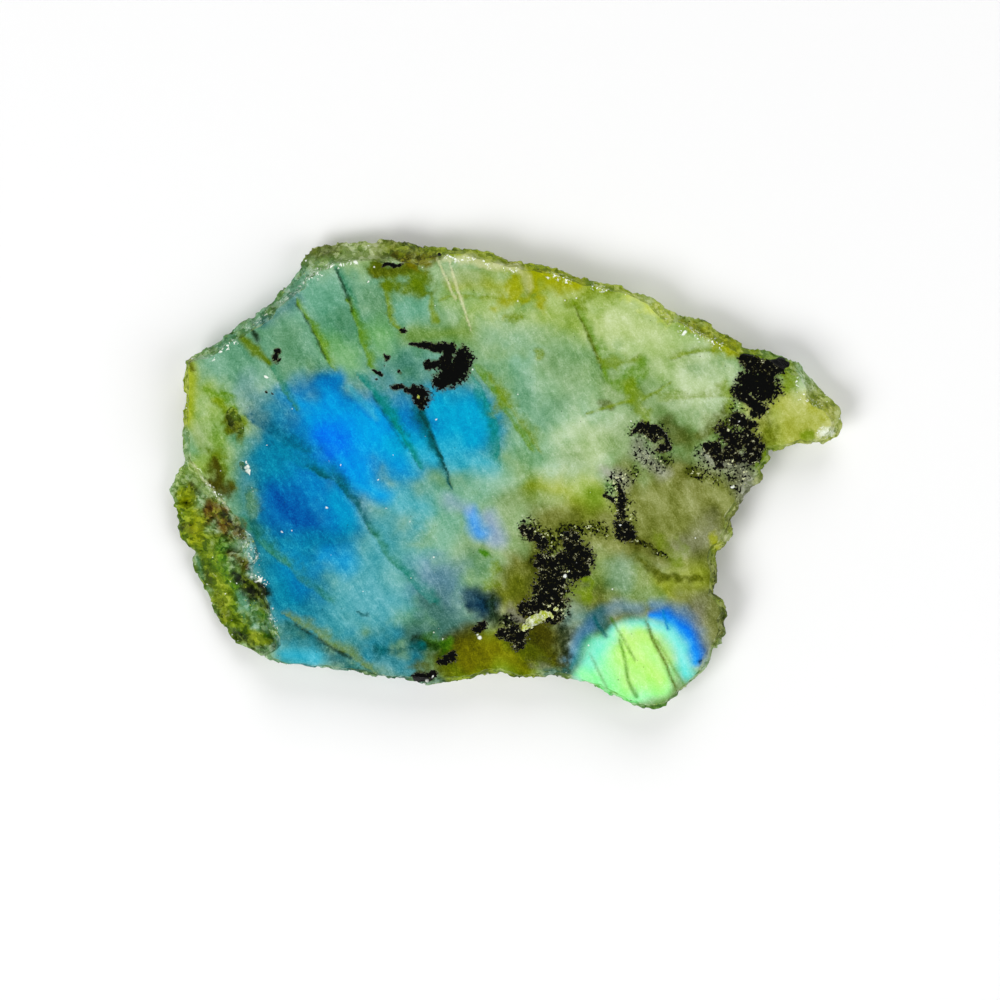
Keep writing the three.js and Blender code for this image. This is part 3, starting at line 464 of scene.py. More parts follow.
# The split-off piece low on the left. Its dark olive, brown and black pockets are partly the stone's own
# colour and partly painted shade where the face drops to the ledge.
LEDGE = (
    (BOG, 1, 0.6, (-46, -3, 2), (-45, -8, 2.8), (-43, -12, 3), (-40.6, -16, 3.4), (-38, -21, 3.4),
     (-35.6, -23.6, 2)),
    (GRASS, 0.85, (-40.6, -9, 1.2), (-39.6, -14, 1.8), (-38, -18, 1.6), (-35, -20.4, 1.4)),
    (FRESH, 0.8, (-47.4, -1, 0.8), (-46, 1, 1), (-44, 1, 0.8)),
    (YELLOW_OLIVE, 0.8, (-46, -3, 1), (-44.2, -5, 1.2), (-44.2, -9, 1.1)),
    (BROWN_OLIVE, 0.8, (-45.4, -1.4, 0.5), (-44, -2.8, 0.7)),
    (BROWN_OLIVE, 0.7, (-46, -7, 0.5), (-45, -8.2, 0.6)),
    # Painted shade, partly the stone's own dark brown: the pocket under the drop from the face.
    (DARK_OLIVE, 0.9, (-43, -3.6, 0.8), (-40.4, -6.4, 1.8), (-38, -8.6, 1.2)),
    (BROWN, 0.95, 0.2, (-42.6, -4.6, 0.9), (-40.6, -6.2, 1.5), (-38.4, -8, 1.1)),
    (BLACK, 0.85, (-40.8, -5.4, 0.4), (-39, -6.8, 0.6), (-38, -8.2, 0.6)),
    (TEAL_PALE, 0.6, (-44.8, -11.6, 0.5), (-43.6, -14.4, 0.5)),
    (DARK_OLIVE, 0.8, (-43, -13.6, 0.6), (-42, -17, 0.7), (-40, -20, 0.7)),
    (GOLD_OLIVE, 0.6, (-41.4, -14.6, 0.8), (-40, -17.6, 0.8)),
    (TEAL_PALE, 0.9, 0.1, (-38, -17.6, 0.9), (-36.4, -20.8, 1.2), (-35.4, -22, 0.9)),
    (BLACK_GREEN, 0.8, (-39.6, -11, 0.5), (-38.6, -13.6, 0.6), (-37.6, -14.4, 0.6)),
    (GOLD_OLIVE, 0.85, (-36, -23, 0.7), (-34, -24.4, 0.8)),
    (BLACK_GREEN, 0.95, 0.1, (-38.6, -22.6, 0.6), (-37.2, -23.8, 0.8), (-35.8, -25, 0.5)),
    (BROWN, 0.9, (-38.8, -11.4, 0.7), (-37.4, -13, 0.9)),
    # Painted shade, partly the stone's own black: the pocket under the drop from the face.
    (BLACK_GREEN, 1, 0.3, (-38.6, -14, 0.8), (-37, -15.4, 1.4), (-35.2, -17.2, 1.5), (-34.2, -19, 0.7)),
    (BLACK, 0.95, (-37.6, -15.2, 0.9), (-35.6, -17, 1.1)),
    (GRASS, 0.9, 0.1, (-35, -20, 0.9), (-33.8, -22.8, 1)),
    (CREAM, 0.6, (-45.4, 2.4, 0.14), (-43.2, 0, 0.14), (-41.7, -2.6, 0.14), (-39.3, -5.1, 0.12),
     (-37.9, -6.8, 0.1)),
)

# Black mineral grains: brush paths with no tint.
GRAINS = (
    # beside the flash
    ((-13.4, 18.7, 0.25), (-10.6, 18.3, 0.45), (-7.8, 17.9, 0.7)),
    ((-6.2, 16.7, 1.2), (-6.7, 14.8, 1.4), (-8.8, 13.6, 1.1), (-9.8, 12.9, 0.3)),
    ((-8.3, 17.4, 0.5), (-8.6, 15.6, 1)), ((-10.8, 15.6, 0.5), (-9.9, 16, 0.3)),
    ((-15.4, 12.4, 0.5), (-14.6, 12.6, 0.3)), ((-13.8, 12.1, 0.4), (-11.9, 11.2, 1.1), (-12, 9.9, 0.4)),
    ((-32.7, 17.5, 0.4), (-32.6, 16.7, 0.5)), ((-17, 16.9, 0.45),), ((-14.6, 20.8, 0.4),),
    ((-14.9, 14.9, 0.25),), ((-19, 15.2, 0.15), (-17.6, 14.4, 0.2)), ((-18.6, 13.8, 0.2),),
    ((-17.4, 15.6, 0.15),), ((-34.1, 11.6, 0.18),), ((-33.3, 11.4, 0.14),),
    ((-17.4, 30, 0.2), (-16, 30.1, 0.3), (-14.7, 30.2, 0.15)), ((-9.2, 31.6, 0.35),),
    # the tall black seam and its foot
    ((2.5, -7.8, 0.5), (3.8, -8.2, 0.45)), ((3.8, -8.8, 0.6), (5.2, -9.9, 0.7)),
    ((5.8, -12.6, 1.2), (7.2, -15, 2), (6, -18, 2)),
    ((9.3, -9.4, 1), (10.8, -11.8, 1.6), (10, -13.6, 1.2), (12, -14, 0.3)),
    ((7.6, -12, 0.8), (9.8, -12.2, 1)), ((3, -19.2, 0.9), (5.8, -19.4, 1.3), (7, -20.2, 0.8)),
    ((1.2, -22.2, 0.7), (2, -24.2, 0.7)), ((-0.4, -22.6, 0.6), (1, -23.6, 0.6)),
    ((3, -21.6, 0.6), (2.4, -23, 0.5)), ((-4.4, -21.9, 0.4), (-3.1, -21.6, 0.5)),
    ((-8.8, -26.6, 0.5), (-7.8, -25.9, 0.5)), ((-12.6, -28.9, 0.5), (-10.8, -28.7, 0.7)),
    ((14.5, -2.7, 0.25), (15.7, -3.6, 0.3)), ((16.2, -1.5, 0.25), (16.9, -3.7, 0.5), (16.6, -5.7, 0.4)),
    ((16.5, -7, 0.7), (17.3, -8.4, 1.1)), ((18.5, 6.1, 0.5), (20, 6.6, 0.7), (21.3, 5.9, 0.8)),
    ((21.4, 6.8, 0.4), (22.8, 5.3, 0.35), (23.3, 3.8, 0.3), (21.9, 3.9, 0.3)),
    # the dark band at the right
    ((34, 16.9, 0.7), (35.4, 16.1, 1.1), (37.2, 15, 1.4), (39.4, 15.8, 1), (40.4, 15.8, 0.5)),
    ((34.4, 13.5, 1.2), (36.8, 12.8, 2.1), (38, 11.8, 0.8)),
    ((33.6, 11.8, 1), (35.2, 10.6, 0.7), (36.2, 9.4, 1)), ((33.2, 8, 0.8), (34.8, 7, 0.9)),
    ((31, 6.4, 0.8), (33.4, 4.8, 0.9)), ((28.6, 4, 0.5), (30.4, 2.4, 0.5), (32.6, 3.4, 0.8)),
    ((34.8, 5.2, 1.1), (35.8, 3.6, 1.1), (35, 2, 0.6)), ((28.4, 3.8, 0.3), (30.2, 4.2, 0.6)),
    ((33.2, 2.4, 0.8),), ((29.6, 2.8, 0.3), (31, 1.2, 0.35)),
)

# A brassy flake and gold specks among the grains.
BRASS = (
    ((2.6, -21.9, 0.5), (5.3, -20.2, 0.7)), ((6.6, -20, 0.3),), ((7.4, -19.2, 0.25),),
    ((6.2, -18.8, 0.2),), ((9.2, -13.6, 0.2),), ((-12.1, 11, 0.25),), ((16.1, -3.4, 0.15),),
    ((17.4, -2.2, 0.15),), ((16.2, -5, 0.15),),
)

# Places where black and grey crumbs are strewn through the stone.
PEPPER = (
    ((28.6, 3, 1.6), (34, 1.4, 2.6), (34.6, -1.4, 2.2)), ((27, 0.8, 0.9), (30, -0.6, 1)),
    ((19.6, 3.4, 1.4), (22, 2, 1.6)), ((16.4, -0.6, 1.2), (18.6, 0.4, 0.8)),
    ((14.6, -8.4, 0.8), (13, -8, 0.8)), ((18, -5.6, 0.8), (18.4, -8.6, 0.9)),
    ((3.4, -7.6, 1.4), (6.4, -9.6, 1.2)), ((8, -8.4, 1), (13.4, -7.6, 0.9)),
    ((5.8, -12, 1.6), (7.4, -15, 2.2), (5.6, -18, 2)), ((9.4, -9.6, 1.6), (11, -12, 1.6)),
    ((0.6, -21, 1), (2, -23.6, 1)), ((5, -19, 1.4), (8, -19.4, 1)), ((34.6, 17.4, 0.8), (38, 16, 0.8)),
    ((33.4, 9.6, 1), (31.6, 5, 1.6)), ((18.6, 6.2, 1), (22, 6, 1.2), (23, 4, 0.9)),
    ((15.4, -1.4, 1.1), (17, -4.6, 1.5)), ((19, -9.4, 0.35), (23, -11.6, 0.25)),
    ((36, 3, 1.2), (36.4, 0.6, 0.9)),
)

# Places where broken granules and bruises shine white: partly their own pale colour and partly painted
# highlights of light off them.
FROST_AND_HIGHLIGHTS = (
    ((-32, 24.6, 0.7), (-29.6, 27, 0.9), (-27, 29, 1)), ((-25.6, 29.6, 0.5), (-21.4, 30.2, 0.6)),
    ((-37.2, 20.8, 0.5), (-34, 23.4, 0.4)), ((-42, 16.8, 0.5), (-38.4, 19, 0.5)),
    ((22.6, 23.2, 0.6), (24.6, 22.4, 0.8)), ((25.6, 21, 0.9), (28, 19.6, 0.8)),
    ((29.4, 19.4, 0.6), (31, 18.4, 0.6)), ((41.8, 14, 0.4), (42.6, 11.4, 0.7), (45, 10.2, 0.6)),
    ((45.6, 6.2, 1), (47.4, 5.8, 0.9)), ((-41.6, -8.6, 0.6), (-40.4, -10.6, 0.7)),
    ((-37.8, -9, 0.6), (-35.4, -12.4, 0.6)), ((-43.6, 0.2, 0.3), (-40, -4.6, 0.4)),
    ((-35.8, -14.4, 0.5), (-34.2, -15.6, 0.5)),
    ((-35.6, -18.6, 0.7), (-33.6, -21, 0.8), (-32.6, -23.4, 0.7)),
    ((-8, 31, 0.4), (-5, 30.8, 0.5), (-2.4, 30, 0.4)), ((0, 29.6, 0.7), (1.4, 29.4, 0.5)),
    ((6.4, 28.6, 0.6), (9, 28, 0.6)), ((13, 27, 0.6), (15, 26.6, 0.5)),
)

# Single bright glints: (x, y, half width).
GLINTS = (
    (-37.3, 1.8, 0.22), (-37.1, 1.2, 0.34), (-36.8, 0.6, 0.26), (-36.6, 0.1, 0.16), (-36, -2, 0.2),
    (-34.2, 14, 0.22), (-34, 4.2, 0.14), (-31.7, -8.3, 0.18), (-28.9, -9.9, 0.12), (-27.6, -5.6, 0.14),
    (-25.3, -4.5, 0.22), (-24.9, 2.1, 0.14), (-23.4, 1.2, 0.18), (-20.6, 4.9, 0.16), (-18, -0.8, 0.2),
    (-16.7, -4.6, 0.18), (-15.9, 2.5, 0.14), (-11.4, 5.8, 0.14), (-10.9, 2.4, 0.12), (-9.8, 8, 0.2),
    (-25, -11.5, 0.16), (-4.4, 15.1, 0.2), (9.5, 26.1, 0.22), (15.5, 6, 0.2), (18.2, 7.6, 0.18),
    (-7.4, 31, 0.22), (-6.9, 30.9, 0.18), (-4.6, 30.8, 0.2), (26.4, -23.5, 0.12), (16.3, -7.1, 0.2),
    (8.8, -14.2, 0.32), (8, -13, 0.16), (9.4, -13.6, 0.18), (10, -12.2, 0.12), (-3.6, -23.2, 0.4),
    (-4, -22.6, 0.25), (-11.4, -29.2, 0.3), (-10.6, -28.9, 0.25), (-9.7, -22.3, 0.18),
    (-8.7, -23.7, 0.16), (5.7, 1.2, 0.14), (32.6, -1.6, 0.3), (33.6, 7.5, 0.2), (29.4, 19, 0.2),
    (25.6, 20.4, 0.35), (-2.6, -28.4, 0.25), (8, -28.8, 0.3), (-19.6, 27.2, 0.2), (-21.4, 30.4, 0.45),
    (-34.4, -21.6, 0.2), (-33.2, -19.1, 0.28), (-34.9, -15.2, 0.35), (-36.2, -14.6, 0.25),
    (-35.6, -15.4, 0.2), (-27, -28, 0.4), (-26, -28.1, 0.3), (-2.4, -2.9, 0.2), (-1.6, -3.1, 0.14),
)

# ---- mesh of the slab


def chance(cells, use):
    """A number from 0 to 1 for each row of three whole numbers, the same every time for one use."""
    weights = np.array([73856093, 19349663, 83492791], dtype=np.uint64)
    shifted = (cells + 4096).astype(np.uint64)
    mask = np.uint64(0xFFFFFFFF)
    bits = ((shifted * weights).sum(axis=1) + np.uint64(use * 97531)) & mask
    for shift, factor in ((13, 1274126177), (15, 1103515245)):
        bits = ((bits ^ (bits >> np.uint64(shift))) * np.uint64(factor)) & mask
    return (bits ^ (bits >> np.uint64(16))) / 2.0 ** 32


def split_height(points, cell):
    """Height of a split surface at each point, from -1 to 1: every cell breaks on its own plane."""
    cos, sin = math.cos(CLEAVAGE_TURN), math.sin(CLEAVAGE_TURN)
    turned = points @ np.array([[cos, -sin, 0], [sin, cos, 0], [0, 0, 1]]) / np.array(cell)
    nearest = np.full(len(points), np.inf)
    height = np.zeros(len(points))
    for step in itertools.product((-1, 0, 1), repeat=3):
        corner = np.floor(turned) + step
        centre = corner + np.stack([chance(corner, use) for use in (1, 2, 3)], axis=1)
        offset = turned - centre
        distance = (offset ** 2).sum(axis=1)
        tilt = np.stack([chance(corner, use) - 0.5 for use in (4, 5, 6)], axis=1)
        level = 2 * chance(corner, 7) - 1
        nearer = distance < nearest
        height = np.where(nearer, level + 1.6 * (tilt * offset).sum(axis=1), height)
        nearest = np.where(nearer, distance, nearest)
    return height.clip(-1, 1)


def open_shell(node, top):
    """The frame's slab in millimetres without its two flat faces: the broken rim and the pits."""
    shell = bmesh.new()
    shell.from_mesh(node.data)
    bmesh.ops.scale(shell, vec=(1 / MM,) * 3, verts=shell.verts)
    bmesh.ops.remove_doubles(shell, verts=shell.verts, dist=FLAT / 2)
    flats = [
        face for face in shell.faces
        if all(v.co.z < FLAT for v in face.verts) or all(v.co.z > top - FLAT for v in face.verts)
    ]
    bmesh.ops.delete(shell, geom=flats, context="FACES")
    bmesh.ops.subdivide_edges(shell, edges=shell.edges[:], cuts=RIM_CUTS, use_grid_fill=True)
    bmesh.ops.triangulate(shell, faces=shell.faces[:])
    return shell


def roughen(shell, top):
    """Breaks the shell's facets into finer steps. Edges on the face and on the back stay in plane."""
    shell.normal_update()
    points = np.array([v.co for v in shell.verts])
    normals = np.array([v.normal for v in shell.verts])
    steps = sum(height * split_height(points, cell) for cell, height in CHIP_SIZES)
    steps *= np.clip((top - points[:, 2]) / CHIPS_FULL, 0.3, 1)
    on_face = points[:, 2] > top - FLAT
    on_back = points[:, 2] < FLAT
    normals[on_face | on_back, 2] = 0
    moved = points + normals * steps[:, None]
    moved[:, 2] = moved[:, 2].clip(BACK_MARGIN, top - FACE_MARGIN)
    moved[on_face, 2] = top
    moved[on_back, 2] = 0
    for vert, place in zip(shell.verts, moved):
        vert.co = place


def inside(points, starts, ends):
    """Whether each point lies inside the closed loops that these edges make."""
    x, y = points.T
    crossings = np.zeros(len(points), dtype=int)
    for (x0, y0), (x1, y1) in zip(starts, ends):
        spans = (y0 > y) != (y1 > y)
        reach = x0 + (y[spans] - y0) / (y1 - y0) * (x1 - x0)
        crossings[spans] += x[spans] < reach
    return crossings % 2 == 1


JITTER = 0.3  # how far a loose point strays from its grid, in spacings
CLEARANCE = 0.6  # least distance of a loose point from the loops, in spacings


def scatter(starts, ends, spacing, rng):
    """Loose points inside the loops, about a spacing from each other."""
    low, high = starts.min(axis=0), starts.max(axis=0)
    columns, rows = (np.arange(low[axis], high[axis], spacing) for axis in (0, 1))
    points = np.stack(np.meshgrid(columns, rows), axis=-1).reshape(-1, 2)
    points += rng.uniform(-JITTER, JITTER, points.shape) * spacing
    points = points[inside(points, starts, ends)]
    tree = kdtree.KDTree(len(starts))
    for index, (x, y) in enumerate(starts):
        tree.insert((x, y, 0), index)
    tree.balance()
    return [p for p in points if tree.find((p[0], p[1], 0))[2] > CLEARANCE * spacing]


def fill_flat(shell, height, spacing, slot, rng):
    """Closes the loops that lie at one height with a fine flat mesh, round any holes in it."""
    edges = [
        edge for edge in shell.edges
        if edge.is_boundary and all(abs(v.co.z - height) < FLAT for v in edge.verts)
    ]
    verts = list({v: None for edge in edges for v in edge.verts})
    index = {v: i for i, v in enumerate(verts)}
    starts, ends = (np.array([e.verts[i].co.xy for e in edges]) for i in (0, 1))
    loose = scatter(starts, ends, spacing, rng)
    flat = [v.co.xy for v in verts] + [Vector(p) for p in loose]
    links = [tuple(index[v] for v in edge.verts) for edge in edges]
    places, _, faces, origins, _, _ = geometry.delaunay_2d_cdt(flat, links, [], 0, 1e-7)
    verts += [shell.verts.new((x, y, height)) for x, y in loose]
    corners = [verts[origin[0]] if origin else None for origin in origins]
    triangles = np.array(faces)
    centres = np.array(places)[triangles].mean(axis=1)
    upward = height > FLAT
    for face in triangles[inside(centres, starts, ends)]:
        made = shell.faces.new([corners[i] for i in (face if upward else face[::-1])])
        made.material_index = slot
        made.smooth = upward
    return verts[len(index):]


# ---- painting of the stone

FAR = 5.0  # further from a brush path than anything drawn, in half widths
REACH = 2.6  # where the softest marking has faded out, in half widths
FOLD_STEEP = 5.0  # how much faster a fold ends on its steep side

# Edges of markings: how far they fade beyond the half width, and how ragged they are.
WASH = (1.0, 0.9)
GLOW = (1.1, 0.35)
STAIN = (0.6, 1.5)
SEAM = (0.6, 0.6)
LINE = (0.9, 0.3)


def smooth_step(value, low, high):
    """Goes smoothly from 0 to 1 as the value goes from low to high."""
    share = ((value - low) / (high - low)).clip(0, 1)
    return share * share * (3 - 2 * share)


def noise(points, size, octaves, use):
    """Smooth noise about 0 with features of about this size and finer ones. Each use has its own."""
    total = np.zeros(len(points))
    for octave in range(octaves):
        local = points * 2 ** octave / size
        corner = np.floor(local)
        share = local - corner
        share *= share * (3 - 2 * share)
        for step in itertools.product((0, 1), repeat=2):
            weight = np.where(step, share, 1 - share).prod(axis=1)
            cell = np.column_stack([corner + step, np.full(len(points), octave)])
            total += weight * (chance(cell, use) - 0.5) / 2 ** octave
    return total


def warped(points, size, reach, use):
    """The points moved about in their plane, up to about this far."""
    moves = [noise(points, size, 3, number) for number in (use, use + 1)]
    return points + reach * np.column_stack(moves)


def along_cleavage(points, ratio):
    """The points in axes along and across the cleavage, shortened along it."""
    cos, sin = math.cos(CLEAVAGE_TURN), math.sin(CLEAVAGE_TURN)
    return points @ np.array([[cos / ratio, -sin], [sin / ratio, cos]])


def nearness(points, path, steep=1.0):
    """How far each point is from a brush path, in half widths; right of it, so many times as far."""
    nearest = np.full(len(points), FAR)
    for start, end in zip(path, path[1:] or path):
        run = np.subtract(end, start)
        share = ((points - start[:2]) @ run[:2] / max(run[:2] @ run[:2], TINY)).clip(0, 1)
        x, y = (points - start[:2] - np.outer(share, run[:2])).T
        gap = np.hypot(x, y) / (start[2] + share * run[2])
        nearest = np.minimum(nearest, np.where(run[0] * y < run[1] * x, steep * gap, gap))
    return nearest


def near_path(points, path):
    """Which points lie in the box round a brush path."""
    places = np.array(path)
    margin = REACH * places[:, 2].max()
    low, high = places[:, :2].min(axis=0) - margin, places[:, :2].max(axis=0) + margin
    return np.flatnonzero(((points > low) & (points < high)).all(axis=1))


def nearest_of(points, paths):
    """How far each point is from the nearest of some brush paths, in half widths."""
    nearest = np.full(len(points), FAR)
    for path in paths:
        close = near_path(points, path)
        nearest[close] = np.minimum(nearest[close], nearness(points[close], path))
    return nearest


def lay(tint, points, breaks, markings, edge, steep=1.0):
    """Lays markings over the colours, one after another. The fourth channel is what they cover."""
    fade, ragged = edge
    for shade, strength, *path in markings:
        core = 0 if isinstance(path[0], tuple) else path.pop(0)
        close = near_path(points, path)
        distance = nearness(points[close], path, steep) + ragged * (1 - core) * breaks[close]
        share = strength * smooth_step(distance, 1 + fade * (1 - core), core)
        tint[close] += share[:, None] * (shade - tint[close])


def deepen(tint, amount):
    """Makes colours deeper and darker, or paler where the amount is under 0."""
    tint[:, :3] **= np.exp(amount)[:, None]


def purify(tint):
    """Takes the grey out of colours, the more so the purer they are already."""
    least, most = (find(tint[:, :3], axis=1, keepdims=True) for find in (np.min, np.max))
    tint[:, :3] -= PURITY * least * (1 - least / most.clip(TINY)) ** 4


def ground(points, depth):
    """The colour of the stone at each point: its washes, clouds and flashes, and the lines over them.

    The flashes shine from the polished face alone, so they fade with the depth under it.
    """
    breaks = noise(points, 2.5, 4, 30)
    tint = np.array([WILLOW] * len(points))
    lay(tint, warped(points, 7, 1.8, 40), breaks, WASHES, WASH)
    clouds = noise(warped(points, 5, 3, 46), 4.2, 5, 48)
    deepen(tint, DEPTH * (0.2 + 0.65 * smooth_step(points[:, 0], *CALM_TO_CLOUDY)) * clouds)
    shining = tint.copy()
    lay(shining, warped(points, 4, 0.8, 42), breaks, FLASH + KNOB, GLOW)
    tint += smooth_step(depth, *SHINE_DEPTH)[:, None] * (shining - tint)
    deepen(tint, 0.25 * noise(along_cleavage(points, 4), 1.1, 3, 44) + 0.1 * clouds)
    lay(tint, warped(points, 2.4, 0.2, 54), breaks, LINES, LINE)
    purify(tint)
    return tint


def marks(points):
    """The folds, stains and seams over it: their colour, and in the fourth channel how much they cover."""
    breaks = noise(warped(points, 1.5, 0.8, 50), 1.3, 4, 52)
    crisp = warped(points, 2.4, 0.6, 54)
    straight = warped(points, 2.4, 0.2, 54)
    tint = np.zeros((len(points), 4))
    lay(tint, crisp, breaks, FOLDS, WASH, FOLD_STEEP)
    lay(tint, crisp, breaks, STAINS, STAIN)
    lay(tint, straight, breaks, SEAMS, SEAM)
    lay(tint, crisp, breaks, LEDGE, STAIN)
    tint[:, :3] /= tint[:, 3:].clip(TINY)
    purify(tint)
    return tint


FIELDS = {
    "grain": GRAINS, "brass": BRASS, "pepper": PEPPER, "frost_and_highlight": FROST_AND_HIGHLIGHTS,
    "glint": [[glint] for glint in GLINTS],
}


def write_fields(mesh):
    """Stores the painted colours and how near each vertex is to the grains and the like."""
    places = np.array([v.co for v in mesh.vertices]) / MM
    points = places[:, :2]
    painted = {"ground": ground(points, places[:, 2].max() - places[:, 2]), "marks": marks(points)}
    for name, tint in painted.items():
        mesh.color_attributes.new(name, "FLOAT_COLOR", "POINT").data.foreach_set("color", tint.ravel())
    ragged = warped(points, 1.4, 0.7, 60)
    for name, paths in FIELDS.items():
        mesh.attributes.new(name, "FLOAT", "POINT").data.foreach_set("value", nearest_of(ragged, paths))


# ---- the slab


def sink_grains(verts, rng):
    """Sinks the polished face a little over the black grains, unevenly."""
    nearest = nearest_of(np.array([v.co.xy for v in verts]), GRAINS)
    depth = GRAIN_DEPTH * smooth_step(nearest, 1.2, 0.8) * rng.uniform(0.2, 1, len(verts))
    for vert, down in zip(verts, depth):
        vert.co.z -= down


def add_object(name, data):
    made = bpy.data.objects.new(name, data)
    bpy.context.scene.collection.objects.link(made)
    return made


def make_slab(node, materials):
    """The slab as one closed fine mesh, in metres."""
    rng = np.random.default_rng(SEED)
    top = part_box("slab")[1].z / MM
    shell = open_shell(node, top)
    roughen(shell, top)
    for face in shell.faces:
        face.material_index = BROKEN
    face_verts = fill_flat(shell, top, FACE_SPACING, POLISHED, rng)
    fill_flat(shell, 0, BACK_SPACING, SAWN, rng)
    sink_grains(face_verts, rng)
    bmesh.ops.scale(shell, vec=(MM,) * 3, verts=shell.verts)
    mesh = bpy.data.meshes.new("labradorite_slab")
    shell.to_mesh(mesh)
    shell.free()
    write_fields(mesh)
    for material in materials:
        mesh.materials.append(material)
    slab = add_object("labradorite_slab", mesh)
    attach(slab, "root")
    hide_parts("slab")
    return slab


# ---- shader tools


class Nodes:
    """Adds nodes to one tree. Each method takes sockets or plain values and returns a socket."""

    def __init__(self, tree):
        self.tree = tree

    def add(self, kind, inputs, output=0, **settings):
        node = self.tree.nodes.new("ShaderNode" + kind)
        for name, value in settings.items():
            setattr(node, name, value)
        self.fill(node, inputs)
        return node.outputs[output]

    def fill(self, node, inputs):
        for name, value in inputs.items():
            if isinstance(value, bpy.types.NodeSocket):
                self.tree.links.new(value, node.inputs[name])
            else:
                node.inputs[name].default_value = value

    def math(self, operation, a, b=0.0, c=0.0):
        return self.add("Math", {0: a, 1: b, 2: c}, operation=operation)

    def times(self, a, b, plus=None):
        """The product of two values, with a third added to it if there is one."""
        return self.math("MULTIPLY", a, b) if plus is None else self.math("MULTIPLY_ADD", a, b, plus)

    def less(self, a, b):
        return self.math("SUBTRACT", a, b)

    def vector(self, operation, a, b=(0, 0, 0), c=(0, 0, 0)):
        output = "Value" if operation == "DOT_PRODUCT" else "Vector"
        return self.add("VectorMath", {0: a, 1: b, 2: c}, output, operation=operation)

    def ease(self, value, low, high, to_low=0.0, to_high=1.0):
        """Goes smoothly from one result to another as the value goes from low to high."""
        inputs = {"Value": value, "From Min": low, "From Max": high, "To Min": to_low, "To Max": to_high}
        return self.add("MapRange", inputs, interpolation_type="SMOOTHSTEP", clamp=False)

    def mix(self, share, below, above):
        return self.add("Mix", {"Factor": share, 6: below, 7: above}, output=2, data_type="RGBA")

    def gamma(self, tint, power):
        return self.add("Gamma", {"Color": tint, "Gamma": power})

    def field(self, name, output="Fac"):
        return self.add("Attribute", {}, output, attribute_name=name)

    def noise(self, point, size, detail=2.0, roughness=0.5, output="Fac"):
        """Noise with features of about this size, in the units of the point."""
        inputs = {"Vector": point, "Scale": 1 / size, "Detail": detail, "Roughness": roughness}
        return self.add("TexNoise", inputs, output)

    def cell(self, point, size):
        """A number from 0 to 1, the same all over each crumb of about this size."""
        inputs = {"Vector": point, "Scale": 1 / size}
        crumbs = self.add("TexVoronoi", inputs, "Color", voronoi_dimensions="2D")
        return self.add("SeparateColor", {0: crumbs})

    def stretch(self, point, turn, ratio):
        """The point in axes turned by an angle, with the first axis shortened."""
        cos, sin = math.cos(turn), math.sin(turn)
        along = self.vector("DOT_PRODUCT", point, (cos / ratio, sin / ratio, 0))
        across = self.vector("DOT_PRODUCT", point, (-sin, cos, 0))
        return self.add("CombineXYZ", {"X": along, "Y": across})

    def ramp(self, value, stops):
        socket = self.add("ValToRGB", {"Fac": value})
        elements = socket.node.color_ramp.elements
        for place, tint in stops[1:-1]:
            elements.new(place)
        for element, (place, tint) in zip(elements, stops):
            element.position = place
            element.color = tint
        return socket

    def flecks(self, point, size, share, radius):
        """Loose round flecks: one in this share of cells of this size, up to this radius in cells."""
        inputs = {"Vector": point, "Scale": 1 / size}
        cells = self.add("TexVoronoi", inputs).node.outputs
        chosen = self.add("SeparateColor", {0: cells["Color"]})
        reach = self.ease(chosen, share, 0.0, 0.001, radius)
        return self.ease(self.math("DIVIDE", cells["Distance"], reach), 1.0, 0.5)


def new_material(name):
    material = bpy.data.materials.new(name)
    material.use_nodes = True
    return material, Nodes(material.node_tree), material.node_tree.nodes["Principled BSDF"]


def finish(material, nodes, shader, tint, roughness, height, reach):
    """Links a material's colour and roughness, and its relief of up to this many millimetres."""
    relief = nodes.add("Bump", {"Height": height, "Distance": reach * MM})
    for name, value in (("Base Color", tint), ("Roughness", roughness), ("Normal", relief)):
        nodes.tree.links.new(value, shader.inputs[name])
    return material


def stone_point(nodes):
    """The point on the stone in millimetres."""
    source = nodes.add("TexCoord", {}, output="Object")
    return nodes.vector("MULTIPLY", source, (1 / MM,) * 3)


# ---- the stone's colours


def painted(nodes, crumb, amount):
    """The painted ground and its marks, whose edges a noise breaks up."""
    share = nodes.field("marks", "Alpha")
    spread = nodes.times(share, nodes.less(1.0, share))
    shift = nodes.times(nodes.less(crumb, 0.5), amount)
    cover = nodes.times(spread, shift, share)
    return nodes.mix(cover, nodes.field("ground", "Color"), nodes.field("marks", "Color"))


def clouded(nodes, flat, fine):
    """The stone without its grains: the ground, marks with crumbly edges, and a fine mottle."""
    crumb = nodes.noise(flat, 0.8, 4, 0.65)
    streaks = nodes.noise(nodes.stretch(flat, CLEAVAGE_TURN, 7), 0.45, 2)
    depth = nodes.times(crumb, 0.7, nodes.times(streaks, 0.2, 0.3))
    depth = nodes.times(fine, 0.6, depth)
    wisps = nodes.noise(nodes.stretch(flat, CLEAVAGE_TURN, 2.5), 3, 4, 0.6)
    wisps = nodes.math("ABSOLUTE", nodes.less(wisps, 0.5))
    depth = nodes.less(depth, nodes.ease(wisps, 0.02, 0, 0, 0.16))
    return nodes.gamma(painted(nodes, crumb, 4.0), depth)


def peppered(nodes, tint, flat, cell, crumb):
    """Black and pale crumbs where they are strewn, over darker ground. Fewer are black on the right."""
    along = nodes.add("SeparateXYZ", {0: flat})
    limit = nodes.ease(along, 8, 18, 0.62, 0.53)
    share = nodes.ease(nodes.times(cell, 0.8, nodes.field("pepper")), 1.7, 1.0)
    dull = nodes.gamma(tint, nodes.times(share, 0.3, 1.0))
    mixed = nodes.times(cell, 0.35, nodes.times(crumb, 0.9))
    black = nodes.ease(nodes.less(mixed, limit), 0.02, -0.02)
    tint = nodes.mix(nodes.times(share, black), dull, BLACK)
    return nodes.mix(nodes.times(share, nodes.ease(mixed, 0.8, 0.84)), tint, CREAM)


# ---- materials

